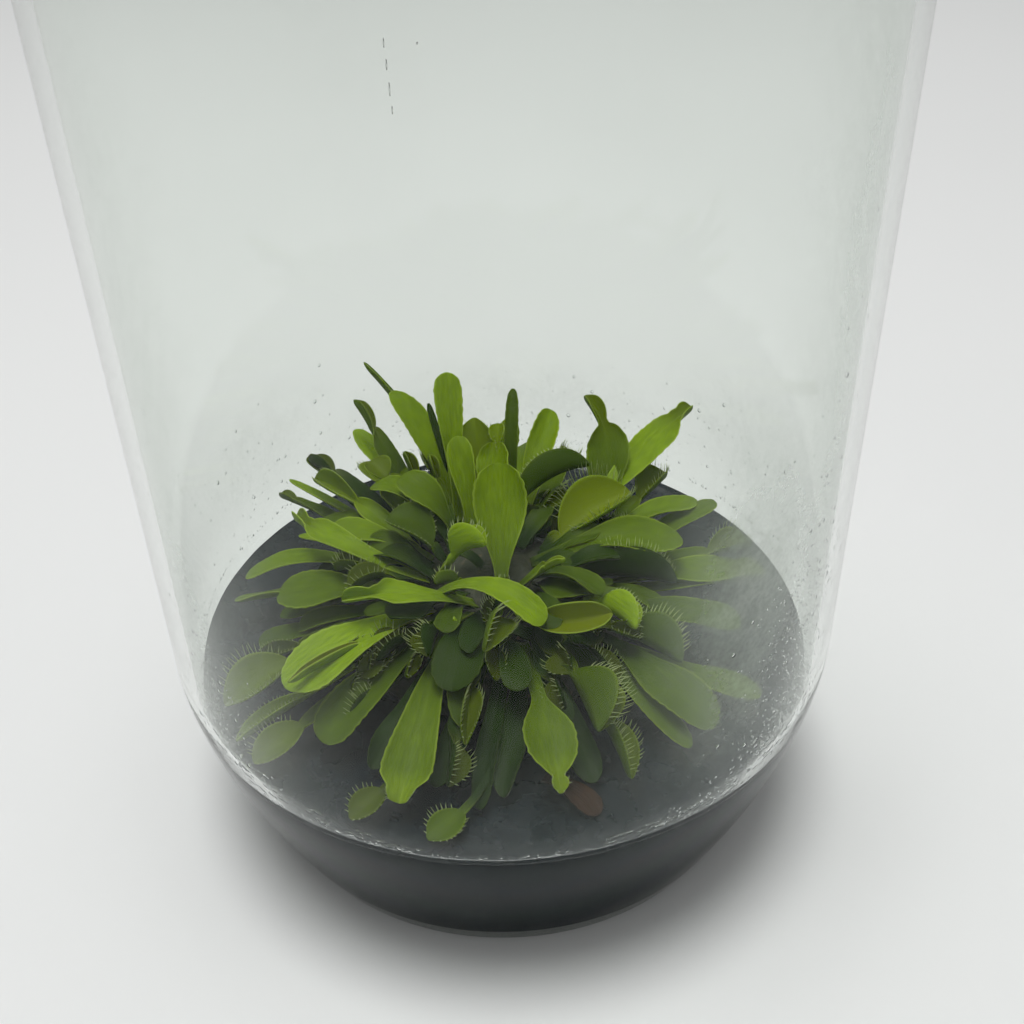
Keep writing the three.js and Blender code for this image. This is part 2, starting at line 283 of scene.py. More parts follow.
# %% [markdown]
# Every piece is made the same way: points and faces worked out in numpy, one mesh with its material
# slots, a parent for the body it moves with, and the CAD node it stands for hidden.
# Numbers that a material should read, such as how near a point is to a leaf's edge, are stored on the
# points as attributes.

# %% A helper that makes a piece
def make_piece(
    name, points, faces, materials, stands_for=None, values=None, skin=None, kinds=None
):
    mesh = bpy.data.meshes.new(name)
    mesh.from_pydata((np.asarray(points) * MM).tolist(), [], [list(map(int, f)) for f in faces])
    for material in materials:
        mesh.materials.append(material)
    if kinds is not None:
        mesh.polygons.foreach_set("material_index", np.asarray(kinds, np.int32))
    for key, numbers in (values or {}).items():
        layer = mesh.attributes.new(key, "FLOAT", "POINT")
        layer.data.foreach_set("value", np.asarray(numbers, np.float32))
    if skin is not None:
        corner_points = np.empty(len(mesh.loops), np.int32)
        mesh.loops.foreach_get("vertex_index", corner_points)
        layer = mesh.uv_layers.new(name="skin")
        layer.data.foreach_set("uv", np.asarray(skin, np.float32)[corner_points].ravel())
    mesh.shade_smooth()
    piece = bpy.data.objects.new(name, mesh)
    bpy.context.scene.collection.objects.link(piece)
    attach(piece, "root")
    if stands_for:
        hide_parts(stands_for)
    return piece


def grid_quads(rows, columns, first=0, around=False, turned=False):
    """Quads of a grid that runs row by row; around joins its last column to its first."""
    row, column = np.meshgrid(
        np.arange(rows - 1), np.arange(columns if around else columns - 1), indexing="ij"
    )
    beside = (column + 1) % columns
    start, above = first + row * columns, first + (row + 1) * columns
    quads = np.stack([start + column, start + beside, above + beside, above + column], -1)
    quads = quads.reshape(-1, 4)
    return quads[:, ::-1] if turned else quads


def smooth(low, high, value):
    """Goes from 0 at low to 1 at high without a kink."""
    t = np.clip((value - low) / (high - low), 0, 1)
    return t * t * (3 - 2 * t)


def turned_solid(outline, steps):
    """Turns an outline of (radius, height), from the axis round to the axis, into a closed solid."""
    outline = np.asarray(outline, float)
    angle = np.arange(steps) * 2 * math.pi / steps
    ring = outline[1:-1]
    points = np.stack([
        ring[:, :1] * np.cos(angle), ring[:, :1] * np.sin(angle), ring[:, 1:] + 0 * angle,
    ], -1).reshape(-1, 3)
    low, high = len(points), len(points) + 1
    points = np.vstack([points, [0, 0, outline[0, 1]], [0, 0, outline[-1, 1]]])
    side = np.arange(steps)
    beside = (side + 1) % steps
    last = (len(ring) - 1) * steps
    faces = grid_quads(len(ring), steps, around=True).tolist()
    faces += np.stack([np.full(steps, low), beside, side], -1).tolist()
    faces += np.stack([np.full(steps, high), last + side, last + beside], -1).tolist()
    return points, faces


print("mesh helpers ready")

# %% [markdown]
# The jar is blown glass: straight walls, a soft heel that draws in towards a crisp foot, and a plain
# round rim. Its outline is turned about the axis with a real wall thickness, because light only bends
# rightly when it enters and leaves a true wall. The rows up the straight wall are close together, as
# smooth shading over one tall face would tilt its mirror images. The refractive index is set below
# that of real glass: a white table shines in the wall of the real jar less than a bare model of it
# would show. Low down the glass is thicker, as it is at the corner of a blown jar. Shadow rays are let
# straight through, as real glass lights what is inside it and a path tracer would otherwise need very
# many samples for that.

# %% Glass jar
ROUND_STEPS = 256
HEEL_STEPS = 40
RIM_STEPS = 12
STRAIGHT_ROWS = 46
CORNER_GLASS, CORNER_BEND = 0.8, 12
GLASS_TINT, GLASS_INDEX = (0.955, 0.975, 0.955), 1.3


def wall_radius(height, inset, foot):
    """The wall's radius at a height: inset from the outside, for a wall that starts at foot."""
    below = np.clip((HEEL_HEIGHT - height) / (HEEL_HEIGHT - foot), 0, 1)
    thicker = CORNER_GLASS * below**CORNER_BEND if inset else 0
    return JAR_RADIUS - inset - HEEL_INSET * below**HEEL_BEND - thicker


def wall_outline(inset, foot, top):
    """The wall's outline from its foot up to a height, with closer steps low down."""
    share = 1 - np.cos(np.linspace(0, math.pi / 2, HEEL_STEPS))
    height = foot + (top - foot) * share
    return np.stack([wall_radius(height, inset, foot), height], -1)


def clear_body(tree, tint, shadow_tint, roughness, index):
    """Glass or water that bends light, but lets shadow rays straight through."""
    inputs = {
        "Base Color": (*tint, 1.0), "Roughness": roughness, "IOR": index, "Transmission Weight": 1.0,
    }
    body = add_node(tree, "ShaderNodeBsdfPrincipled", inputs).outputs[0]
    through = add_node(tree, "ShaderNodeBsdfTransparent", {"Color": (*shadow_tint, 1.0)}).outputs[0]
    shadow = add_node(tree, "ShaderNodeLightPath").outputs["Is Shadow Ray"]
    return mix_shaders(tree, shadow, body, through)


def jar_glass():
    material, tree = new_material("jar_glass")
    show(tree, clear_body(tree, GLASS_TINT, GLASS_TINT, 0.0, GLASS_INDEX))
    return material


def jar_outline():
    angle = np.linspace(0, math.pi, RIM_STEPS)
    rim = np.stack([
        JAR_RADIUS - WALL / 2 + WALL / 2 * np.cos(angle),
        JAR_HEIGHT - WALL / 2 + WALL / 2 * np.sin(angle),
    ], -1)
    heights = np.linspace(HEEL_HEIGHT, JAR_HEIGHT - WALL / 2, STRAIGHT_ROWS + 1)[1:-1]
    straight = np.stack([JAR_RADIUS + 0 * heights, heights], -1)
    outside = wall_outline(0, 0, HEEL_HEIGHT)
    inside = wall_outline(WALL, FLOOR, HEEL_HEIGHT)[::-1]
    back_down = straight[::-1] - (WALL, 0)
    return np.vstack([(0, 0), outside, straight, rim, back_down, inside, (0, FLOOR)])


points, faces = turned_solid(jar_outline(), ROUND_STEPS)
make_piece("culture_jar", points, faces, [jar_glass()], "glass_jar")
print("jar faces:", len(faces))

# %% [markdown]
# The gel is set agar with charcoal in it, black with a hint of slate, wet and smooth. It wets the
# glass, so the mesh reaches just into the wall: with no film of air between, the black fills the foot
# of the jar to its very outline, as the real gel does. Its top has slight swells, lies a little lower
# at the back, where it set aslant, and climbs the glass in a small meniscus. The gel behind the glass
# has no shine of its own, because no air lies between the two to mirror anything.

# %% Charcoal gel
GEL_INTO_WALL = 0.03
MENISCUS_RISE, MENISCUS_REACH = 0.9, 0.8
GEL_RINGS = 60
SWELL, GEL_SLANT = 0.05, 2.2
SLANT_REACH, SINK_DEPTH = 36.0, 9.0
TOP_LAYER, BRIM_WIDTH = 0.01, 0.3


def gel_black(name, shine):
    material, tree = new_material(name)
    place = object_place(tree)
    cloudy = noise(tree, place, 60.0, 4.0)
    colour = mix_colours(tree, cloudy, (0.003, 0.008, 0.011), (0.009, 0.015, 0.019))
    grains = remap(tree, noise(tree, place, 700.0, 2.0), 0.35, 0.85, 0.0, 0.5)
    colour = mix_colours(tree, grains, colour, (0.016, 0.021, 0.024))
    wetness = remap(tree, noise(tree, place, 240.0), 0.35, 0.65, 0.16, 0.34)
    uneven = bumps(tree, noise(tree, place, 300.0, 2.0), 0.10, 0.0002)
    show(tree, surface(tree, colour, wetness, uneven, shine))
    return material


def gel_outline():
    foot, inset = FLOOR - GEL_INTO_WALL, WALL - GEL_INTO_WALL
    brim = GEL_TOP + MENISCUS_RISE
    side = wall_outline(inset, foot, brim)
    out = np.linspace(side[-1, 0], 0, GEL_RINGS)[1:]
    top = GEL_TOP + MENISCUS_RISE * np.exp(-(side[-1, 0] - out) / MENISCUS_REACH)
    return np.vstack([(0, foot), side, np.stack([out, top], -1)])


def gel_sinks(y):
    """How far the gel lies below its level at the front: it set a little aslant."""
    return GEL_SLANT * smooth(-SLANT_REACH, SLANT_REACH, y)


points, faces = turned_solid(gel_outline(), ROUND_STEPS)
x, y, z = points.T
lowered = z - gel_sinks(y) * smooth(GEL_TOP - SINK_DEPTH, GEL_TOP, z)
narrower = wall_radius(lowered, WALL, FLOOR) / wall_radius(z, WALL, FLOOR)
points = np.stack([x * narrower, y * narrower, lowered], -1)
swells = np.sin(x * 0.31 + 1.0) * np.sin(y * 0.27) + 0.5 * np.sin(x * 0.83 + y * 0.6)
points[:, 2] += np.where(z > GEL_TOP - TOP_LAYER, SWELL * swells, 0)
face_tops = np.array([min(z[v] for v in face) for face in faces])
face_outs = np.array([max(np.hypot(x[v], y[v]) for v in face) for face in faces])
on_top = (face_tops > GEL_TOP - TOP_LAYER) & (face_outs < JAR_RADIUS - WALL - BRIM_WIDTH)
gel_materials = [gel_black("gel_behind_glass", 0.0), gel_black("gel_top", 0.4)]
make_piece("charcoal_gel", points, faces, gel_materials, "agar_gel", kinds=on_top)
print("gel top at", GEL_TOP, "mm")

# %% [markdown]
# All the leaves grow from one low crown of short rhizomes and old leaf bases. Little of it shows, and
# what shows is in deep shade, so it is a lumpy mound in dark brown and green. The lumps come from
# adding a few waves of different lengths to a smooth dome.

# %% Crown of rhizomes
CROWN_ROWS, CROWN_STEPS = 34, 96
CROWN_FOOT = -0.25
LUMP = 0.5


def crown_brown():
    material, tree = new_material("crown_brown")
    place = object_place(tree)
    colour = mix_colours(tree, noise(tree, place, 300.0), (0.012, 0.018, 0.008), (0.05, 0.055, 0.02))
    fibres = remap(tree, noise(tree, place, 1500.0, 2.0), 0.6, 0.75)
    colour = mix_colours(tree, fibres, colour, (0.10, 0.085, 0.04))
    rough = bumps(tree, noise(tree, place, 1200.0, 4.0), 0.5, 0.0004)
    show(tree, surface(tree, colour, 0.7, rough))
    return material


def crown_height(x, y):
    """Height of the crown above its foot."""
    out = np.hypot((x - CROWN_X) / CROWN_RADIUS_X, (y - CROWN_Y) / CROWN_RADIUS_Y)
    return CROWN_HEIGHT * np.sqrt(np.clip(1 - out**2, 0, None))


arc = np.linspace(0, math.pi / 2, CROWN_ROWS)
outline = np.stack([np.cos(arc), np.sin(arc)], -1)
outline[-1, 0] = 0
points, faces = turned_solid(np.vstack([(0, CROWN_FOOT), (1, CROWN_FOOT), outline]), CROWN_STEPS)
x, y, z = points.T
lumps = np.sin(x * 9) * np.sin(y * 11) + 0.6 * np.sin(x * 21 + 1) * np.sin(y * 17 + 2)
raised = 1 + LUMP / CROWN_HEIGHT * lumps * np.maximum(z, 0)
points = np.stack([
    CROWN_X + x * CROWN_RADIUS_X * raised,
    CROWN_Y + y * CROWN_RADIUS_Y * raised,
    GEL_TOP + z * CROWN_HEIGHT * raised,
], -1)
make_piece("rhizome_crown", points, faces, [crown_brown()], "rhizome_mound")
print("crown", CROWN_HEIGHT, "mm high")

# %% [markdown]
# A flytrap's leaf is a flat green stalk, the blade, that ends in a trap of two lobes. The skin is satin
# with faint streaks along the leaf. Its thin edge is painted paler as painted light, for light comes
# through it. The inside of a trap turns to olive. One material serves all the leaves: it reads each
# leaf's tone, the distance to its edge and where the inside of the trap is from the points. The tone mixes
# a deep green with a fresh yellow green, and it paints light and shade as well as the leaves' own greens.
# Some light passes through the leaf, so a translucent shader is mixed in. The shine is kept low, for the
# leaves look matt here.

# %% Leaf skin
# the deep and the fresh green also stand for painted shade and painted light; the pale edge is painted light
SHADED_DEEP_GREEN, FRESH_LIT_GREEN = (0.014, 0.036, 0.002), (0.355, 0.530, 0.006)
PAINTED_EDGE_LIGHT = (0.42, 0.56, 0.06)
STREAK_GREEN = (0.23, 0.36, 0.020)
TRAP_OLIVE = (0.190, 0.225, 0.005)
SHADE_GREEN = (0.026, 0.066, 0.003)
THROUGH_LIGHT, SKIN_SHINE = 0.32, 0.12


def leaf_skin():
    material, tree = new_material("leaf_skin")
    skin = add_node(tree, "ShaderNodeUVMap", uv_map="skin").outputs[0]
    along = stretched(tree, skin, (14.0, 2.5, 1.0))
    fine = stretched(tree, skin, (34.0, 6.0, 1.0))
    tone = attribute(tree, "tone")
    # painted light and shade: the tone mixes a shaded deep green with a lit fresh green, as well as the
    # leaf's own green
    fresh_and_lit = remap(tree, tone, 0.03, 0.6, 0.05, 1.0)
    green = mix_colours(tree, tone, SHADED_DEEP_GREEN, FRESH_LIT_GREEN)
    mottle = remap(tree, noise(tree, along, 1.0, 4.0, 0.6), 0.35, 0.75, 0.0, 0.55)
    green = mix_colours(tree, times(tree, fresh_and_lit, mottle), green, STREAK_GREEN)
    shade = remap(tree, noise(tree, fine, 1.0), 0.3, 0.7, 0.0, 0.35)
    green = mix_colours(tree, shade, green, SHADE_GREEN)
    olive = times(tree, attribute(tree, "inside"), attribute(tree, "olive"))
    green = mix_colours(tree, olive, green, TRAP_OLIVE)
    # painted light: the thin edge of a leaf is painted paler, for the light that comes through it
    edge = remap(tree, attribute(tree, "edge"), 0.90, 1.0, 0.0, 0.8)
    green = mix_colours(tree, times(tree, fresh_and_lit, edge), green, PAINTED_EDGE_LIGHT)
    roughness = remap(tree, noise(tree, along, 2.0), 0.3, 0.7, 0.40, 0.58)
    grain = bumps(tree, noise(tree, fine, 1.0, 2.0), 0.35, 0.0001)
    skin_side = surface(tree, green, roughness, grain, SKIN_SHINE)
    show(tree, mix_shaders(tree, THROUGH_LIGHT, skin_side, shine_through(tree, green)))
    return material


def lash_pale():
    material, tree = new_material("trap_lash")
    mottle = noise(tree, object_place(tree), 700.0)
    colour = mix_colours(tree, mottle, (0.34, 0.46, 0.12), (0.62, 0.68, 0.34))
    show(tree, mix_shaders(tree, 0.35, surface(tree, colour, 0.4), shine_through(tree, colour)))
    return material


LEAF_SKIN, TRAP_LASH = leaf_skin(), lash_pale()
print("leaf materials:", LEAF_SKIN.name, TRAP_LASH.name)

# %% [markdown]
# Each leaf follows a middle line from the crown to its tip, lifted in the middle by its arch and pushed
# aside by its sway. Measuring along the line itself, and not along the formula's own parameter, keeps
# the rows evenly spaced, so a long trap and a short one are equally smooth.

# %% The middle line of a leaf
LINE_STEPS = 401


def middle_line(leaf, start, shares):
    """Places, directions and the whole length of a leaf's middle line, at shares of its length."""
    tip = np.array(leaf["tip"], float) + (0, 0, GEL_TOP)
    heading = np.array([tip[0] - start[0], tip[1] - start[1], 0])
    heading /= np.linalg.norm(heading)
    left = np.array([-heading[1], heading[0], 0])
    bend = (start + tip) / 2 + (0, 0, 2 * leaf["arch"]) + left * 2 * leaf["sway"]

    def on_curve(t):
        t = np.asarray(t)[:, None]
        return (1 - t) ** 2 * start + 2 * t * (1 - t) * bend + t**2 * tip

    t = np.linspace(0, 1, LINE_STEPS)
    steps = np.linalg.norm(np.diff(on_curve(t), axis=0), axis=1)
    walked = np.concatenate([[0], np.cumsum(steps)])
    t = np.interp(np.asarray(shares) * walked[-1], walked, t)
    direction = (1 - t)[:, None] * (bend - start) + t[:, None] * (tip - bend)
    direction /= np.linalg.norm(direction, axis=1)[:, None]
    return on_curve(t), direction, walked[-1]


print("line steps:", LINE_STEPS)

# %% [markdown]
# Across its middle line the leaf has a cross-section. A blade is a shallow dish, and a trap's lobes
# stand up from the midrib and curl towards each other like two cupped hands. Both are the same curve,
# an arc that starts at one angle and ends at a steeper one, so the blade can turn smoothly into the
# trap. The widths follow those of the CAD leaf.

# %% Cross-section of blade and trap
NECK, STALK = 0.45, 0.75
CUP, CUP_SWING = 15.0, 0.6
TRAP_CURL = 24.0
LEAST_SPREAD = 0.3
BLADE_WIDENS, BLADE_ROUNDS = (0.05, 0.72), 0.76
JOINT_SPAN = 0.09
LOBE_FULLNESS = 0.7
TURN_BEFORE, TURN_AFTER = 0.15, 0.05


def blade_half_width(along, wide, has_trap, slim, ends):
    """Narrow stalk, widest near two thirds, round end; without a trap it closes to a point."""
    widest = BLADE_WIDENS[1] + 0.1 * slim + (ends - BLADE_ROUNDS)
    rise = smooth(BLADE_WIDENS[0] + slim, widest, along)
    past = np.clip((along - ends) / (1 - ends), 0, 1)
    stalk = min(STALK, wide / 2)
    full = (stalk - NECK + (wide / 2 - stalk) * rise) * np.sqrt(1 - past**2)
    neck = NECK if has_trap else NECK * np.sqrt(1 - np.minimum(past, 0.98) ** 4)
    return neck + full


def lobe_reach(along, reach):
    """One lobe, shaped like a D on the midrib."""
    neck = NECK * (1 - 0.7 * smooth(0.75, 1, along))
    return neck + (reach - NECK) * np.sin(math.pi * np.clip(along, 0, 1)) ** LOBE_FULLNESS


def leaf_rows(leaf, start, shares):
    """Everything a cross-section needs at each share of the leaf's length."""
    places, ahead, length = middle_line(leaf, start, shares)
    trap = leaf["trap"]
    trap_start = 1 - trap[0] / length if trap else 1.0
    turn, trap_lift, trap_roll = 0 * shares, CUP, 0
    if trap:
        turn = smooth(trap_start - TURN_BEFORE, trap_start + TURN_AFTER, shares)
        trap_lift, trap_roll = 90 - trap[2] / 2, trap[3]
    in_trap = shares > trap_start
    along = np.where(
        in_trap, (shares - trap_start) / max(1 - trap_start, 1e-6), shares / trap_start
    )
    half = blade_half_width(along, leaf["wide"], bool(trap), leaf["slim"], leaf["ends"])
    if trap:
        half = np.where(in_trap, lobe_reach(along, trap[1]), half)
        joined = np.exp(-(((shares - trap_start) / JOINT_SPAN) ** 2))
        half = np.maximum(half, leaf["joint"] * joined)
    flat = np.stack([-ahead[:, 1], ahead[:, 0], 0 * half], -1)
    flat /= np.linalg.norm(flat, axis=1)[:, None]
    up = np.cross(ahead, flat)
    bent = np.sin(shares * leaf["bends"] + leaf["phase"])
    twisted = leaf["twist"] * shares * bent * (1 - 0.6 * turn)
    roll = np.radians(trap_roll * turn + twisted)[:, None]
    cup = CUP * (1 + CUP_SWING * np.sin(shares * 1.7 * leaf["bends"] + 2 * leaf["phase"]))
    return {
        "place": places, "ahead": ahead, "length": length, "half": half, "turn": turn,
        "lift": np.radians(cup + (trap_lift - cup) * turn),
        "curl": np.radians(cup + (TRAP_CURL - cup) * turn),
        "side": flat * np.cos(roll) - up * np.sin(roll),
        "open": up * np.cos(roll) + flat * np.sin(roll),
    }


def cross_section(rows, across, wave=0.0):
    """Points, normals and rim directions of the middle sheet; across runs from -1 to 1."""
    out, hand = np.abs(across), np.sign(across)
    lift, curl = rows["lift"][:, None], rows["curl"][:, None]
    first = lift - curl
    angle = first + 2 * curl * out
    spread = (np.sin(angle) - np.sin(first)) / (2 * curl)
    spread = np.maximum(spread, LEAST_SPREAD * out)
    rise = (np.cos(first) - np.cos(angle)) / (2 * curl) + wave
    half = rows["half"][:, None]
    side, upward = rows["side"][:, None], rows["open"][:, None]
    points = (
        rows["place"][:, None]
        + side * (hand * spread * half)[..., None]
        + upward * (rise * half)[..., None]
    )
    normals = upward * np.cos(angle)[..., None] - side * (hand * np.sin(angle))[..., None]
    rim = upward * np.sin(angle)[..., None] + side * (hand * np.cos(angle))[..., None]
    return points, normals, rim


print("cup", CUP, "degrees, trap curl", TRAP_CURL, "degrees")

# %% [markdown]
# The leaf itself is two such sheets, an upper and a lower one, joined round the edge. It is thickest
# at the midrib, where a keel runs underneath, and thins to a fine edge. A slow wave along the edge and
# small teeth keep it from looking cut out of card. Each leaf draws its own waves from a seeded
# generator, so the picture comes out the same every time. The foot of a leaf gets a deeper tone, for
# little light reaches it in the clump.

# %% Leaf mesh
BLADE_ROWS, TRAP_ROWS, COLUMNS = 34, 20, 17
MIDDLE_THICKNESS, EDGE_THICKNESS = 0.40, 0.10
KEEL, GROOVE = 0.22, 0.07
EDGE_WAVE, EDGE_TEETH = 0.13, 0.035
WAVES, TEETH = 0.55, 5.5
TIP_SPAN, RIB_WIDTH = 0.07, 0.35
BASE_SHADE = 0.40
TONE_BEND = 1.5
CM = 10.0


def leaf_shares(leaf, start):
    """Row places, closer together where the blade's end turns round."""
    blade = 1 - (1 - np.linspace(0, 1, BLADE_ROWS)) ** 1.35
    if not leaf["trap"]:
        return blade
    _, _, length = middle_line(leaf, start, [0])
    trap_start = 1 - leaf["trap"][0] / length
    lobe = 0.5 - 0.5 * np.cos(np.linspace(0, math.pi, TRAP_ROWS + 1)[1:])
    return np.concatenate([blade * trap_start, trap_start + (1 - trap_start) * lobe])


def leaf_sheet(leaf, start, dice):
    """Points, faces, values and skin coordinates of one leaf without its lashes."""
    shares = leaf_shares(leaf, start)
    rows = leaf_rows(leaf, start, shares)
    across = np.sin(np.linspace(-math.pi / 2, math.pi / 2, COLUMNS))[None]
    out = np.abs(across)
    phase = dice.uniform(0, 2 * math.pi, 4)
    along = shares[:, None] * rows["length"]
    slow = np.sin(along * WAVES + phase[0] + np.sign(across) * phase[1])
    blade = (1 - rows["turn"])[:, None]
    teeth = np.sin(along * TEETH + phase[2] + np.sign(across) * phase[3]) * out**6
    teeth = teeth * (0.3 + 0.7 * smooth(0.4, 0.85, shares))[:, None]
    middle, normals, _ = cross_section(rows, across, EDGE_WAVE * slow * out**2 * blade)
    middle = middle + rows["side"][:, None] * (
        np.sign(across) * teeth * EDGE_TEETH * rows["half"][:, None] * blade
    )[..., None]
    near_tip = np.clip((shares - 0.93) / TIP_SPAN, 0, 0.97)
    ending = np.sqrt(np.clip(1 - near_tip**2, 0, 1))[:, None]
    thick = 0.5 * (EDGE_THICKNESS + (MIDDLE_THICKNESS - EDGE_THICKNESS) * (1 - out**2)) * ending
    rib = np.exp(-((out * rows["half"][:, None] / RIB_WIDTH) ** 2)) * ending
    upper = middle + normals * (thick - GROOVE * rib * blade)[..., None]
    lower = middle - normals * (thick + KEEL * rib)[..., None]
    points = np.concatenate([upper.reshape(-1, 3), lower.reshape(-1, 3)])
    count = len(shares)
    under = count * COLUMNS
    i, j = np.arange(count - 1), np.arange(COLUMNS - 1)
    right, left, last = i * COLUMNS, i * COLUMNS + COLUMNS - 1, (count - 1) * COLUMNS
    faces = np.concatenate([
        grid_quads(count, COLUMNS, turned=True),
        grid_quads(count, COLUMNS, under),
        np.stack([right, right + under, right + under + COLUMNS, right + COLUMNS], -1),
        np.stack([left, left + COLUMNS, left + COLUMNS + under, left + under], -1),
        np.stack([j, j + 1, j + 1 + under, j + under], -1),
        np.stack([last + j, last + j + under, last + j + 1 + under, last + j + 1], -1),
    ])

    def flat(a):
        """A value of each row and column, for the points of both sheets."""
        return np.tile(np.broadcast_to(a, (count, COLUMNS)).ravel(), 2)

    upper_side = np.repeat([1.0, 0.0], under)
    # painted shade: the foot of each leaf is painted a deeper tone, for little light reaches it in the clump
    tone = leaf["tone"] - BASE_SHADE * (1 - 0.4 * leaf["tone"]) * (1 - smooth(0.0, 0.65, shares))
    tone = tone + (leaf["trap_tone"] - tone) * rows["turn"]
    tone = np.clip(tone, 0, 1) ** TONE_BEND
    values = {
        "tone": flat(tone[:, None]),
        "olive": np.full(2 * under, leaf["olive"]),
        "edge": flat(out),
        "inside": flat(rows["turn"][:, None]) * upper_side,
    }
    skin = np.stack([flat(across * rows["half"][:, None]) / CM, flat(along) / CM], -1)
    return points, faces, values, skin + phase[:2]


print("points in a leaf with a trap:", 2 * COLUMNS * (BLADE_ROWS + TRAP_ROWS))

# %% [markdown]
# A trap's rim carries stiff lashes that cross like fingers when it shuts. Each is a thin cone of three
# rings and a tip, bent a little inwards, that leaves the rim in line with the lobe. They fan out towards both
# ends of the trap and are longest in the middle.

# %% Trap lashes
LASH_PITCH = 0.46
LASH_RADIUS = 0.06
LASH_SIDES = 5
LASH_RINGS = (0.0, 0.4, 0.75)
LASH_FAN, LASH_BEND = 0.55, 0.22
LEAST_LASHED_REACH = 1.2


def lash_length(trap):
    """Lashes of a wide trap are about half as long as its lobe reaches."""
    return min(1.9, 0.3 + 0.36 * trap[1])


def lash_cones(roots, ways, inward, lengths, radius, first):
    """Points and faces of bent cones, one for each root."""
    aside = np.cross(ways, inward)
    aside /= np.linalg.norm(aside, axis=1)[:, None]
    upward = np.cross(aside, ways)
    turn = np.arange(LASH_SIDES) * 2 * math.pi / LASH_SIDES
    circle = aside[:, None] * np.cos(turn)[:, None] + upward[:, None] * np.sin(turn)[:, None]
    rings = []
    for share in LASH_RINGS:
        centre = roots + (ways * share + inward * LASH_BEND * share**2) * lengths[:, None]
        rings.append(centre[:, None] + circle * radius * (1 - 0.8 * share))
    tip = roots + (ways + inward * LASH_BEND) * lengths[:, None]
    points = np.concatenate([*rings, tip[:, None]], 1)
    per_lash = points.shape[1]
    faces = []
    side = np.arange(LASH_SIDES)
    beside = (side + 1) % LASH_SIDES
    for ring in range(len(LASH_RINGS) - 1):
        low, high = ring * LASH_SIDES, (ring + 1) * LASH_SIDES
        faces.append(np.stack([low + side, low + beside, high + beside, high + side], -1))
    quads = np.concatenate(faces)
    last = (len(LASH_RINGS) - 1) * LASH_SIDES
    ends = np.stack([last + side, last + beside, np.full(LASH_SIDES, per_lash - 1)], -1)
    every_quad, every_end, every_base = [], [], []
    for k in range(len(roots)):
        shift = first + k * per_lash
        every_quad += (quads + shift).tolist()
        every_end += (ends + shift).tolist()
        every_base.append((side[::-1] + shift).tolist())
    return points.reshape(-1, 3), every_quad + every_end + every_base


def trap_lashes(leaf, start, dice, first):
    trap = leaf["trap"]
    _, _, length = middle_line(leaf, start, [0])
    count = max(4, round(trap[0] / LASH_PITCH))
    along = np.linspace(0.10, 0.93, count)
    lashes = leaf["lash"] if leaf["lash"] is not None else lash_length(trap)
    points, faces = [], []
    for hand in (-1.0, 1.0):
        spots = along + dice.uniform(-0.3, 0.3, count) / count * 0.8
        shares = 1 - trap[0] / length * (1 - spots)
        rows = leaf_rows(leaf, start, shares)
        roots, normals, rim = cross_section(rows, np.array([[hand]]))
        ways = rim[:, 0] + rows["ahead"] * ((2 * spots - 1) * LASH_FAN)[:, None]
        ways += dice.normal(0, 0.09, ways.shape)
        ways /= np.linalg.norm(ways, axis=1)[:, None]
        lengths = lashes * (0.55 + 0.45 * np.sin(math.pi * spots)) * dice.uniform(0.85, 1.1, count)
        made, quads = lash_cones(
            roots[:, 0], ways, normals[:, 0], lengths, LASH_RADIUS, first + sum(map(len, points))
        )
        points.append(made)
        faces += quads
    return np.concatenate(points), faces


print("lash pitch", LASH_PITCH, "mm")

# %% [markdown]
# One function grows a leaf from its row in the table below: where it leaves the crown, where its tip
# ends, how wide and how light it is, and what trap it carries. Every leaf needs the same steps, so the
# tables hold only what differs between them.

# %% Growing one leaf
SEED = 41
# each group of leaves has seeds of its own, so adding a leaf to one leaves the others alone
SMALL_FIRST, YOUNG_FIRST, BACK_FIRST, LOW_FIRST = 200, 400, 600, 800
TWIST = 32.0


def leaf(foot, tip, wide, tone, arch=0.0, sway=0.0, trap=None, **finer):
    """finer holds olive, lash, slim, ends, joint, twist and trap_tone where a leaf needs its own."""
    return {
        "foot": foot, "tip": tip, "wide": wide, "tone": tone, "arch": arch, "sway": sway,
        "trap": trap, "olive": 0.3, "lash": None, "slim": 0.0, "ends": BLADE_ROUNDS, "joint": 0.0,
        "trap_tone": tone, **finer,
    }


def grow(name, leaf, number, stands_for=None):
    dice = np.random.default_rng([SEED, number])
    leaf.setdefault("twist", dice.uniform(-TWIST, TWIST))
    leaf["bends"], leaf["phase"] = dice.uniform(2.5, 5.0), dice.uniform(0, 2 * math.pi)
    foot_x, foot_y = leaf["foot"]
    height = GEL_TOP + FIT_GAP + LEAF_START + crown_height(foot_x, foot_y)
    start = np.array([foot_x, foot_y, height])
    points, faces, values, skin = leaf_sheet(leaf, start, dice)
    faces = faces.tolist()
    kinds = [0] * len(faces)
    if leaf["trap"] and leaf["trap"][1] >= LEAST_LASHED_REACH and leaf["lash"] != 0:
        more, cones = trap_lashes(leaf, start, dice, len(points))
        points = np.vstack([points, more])
        faces += cones
        kinds += [1] * len(cones)
        values = {key: np.concatenate([v, np.zeros(len(more))]) for key, v in values.items()}
        skin = np.vstack([skin, np.zeros((len(more), 2))])
    return make_piece(
        name, points, faces, [LEAF_SKIN, TRAP_LASH], stands_for, values, skin, kinds
    )


print("leaf seed", SEED)
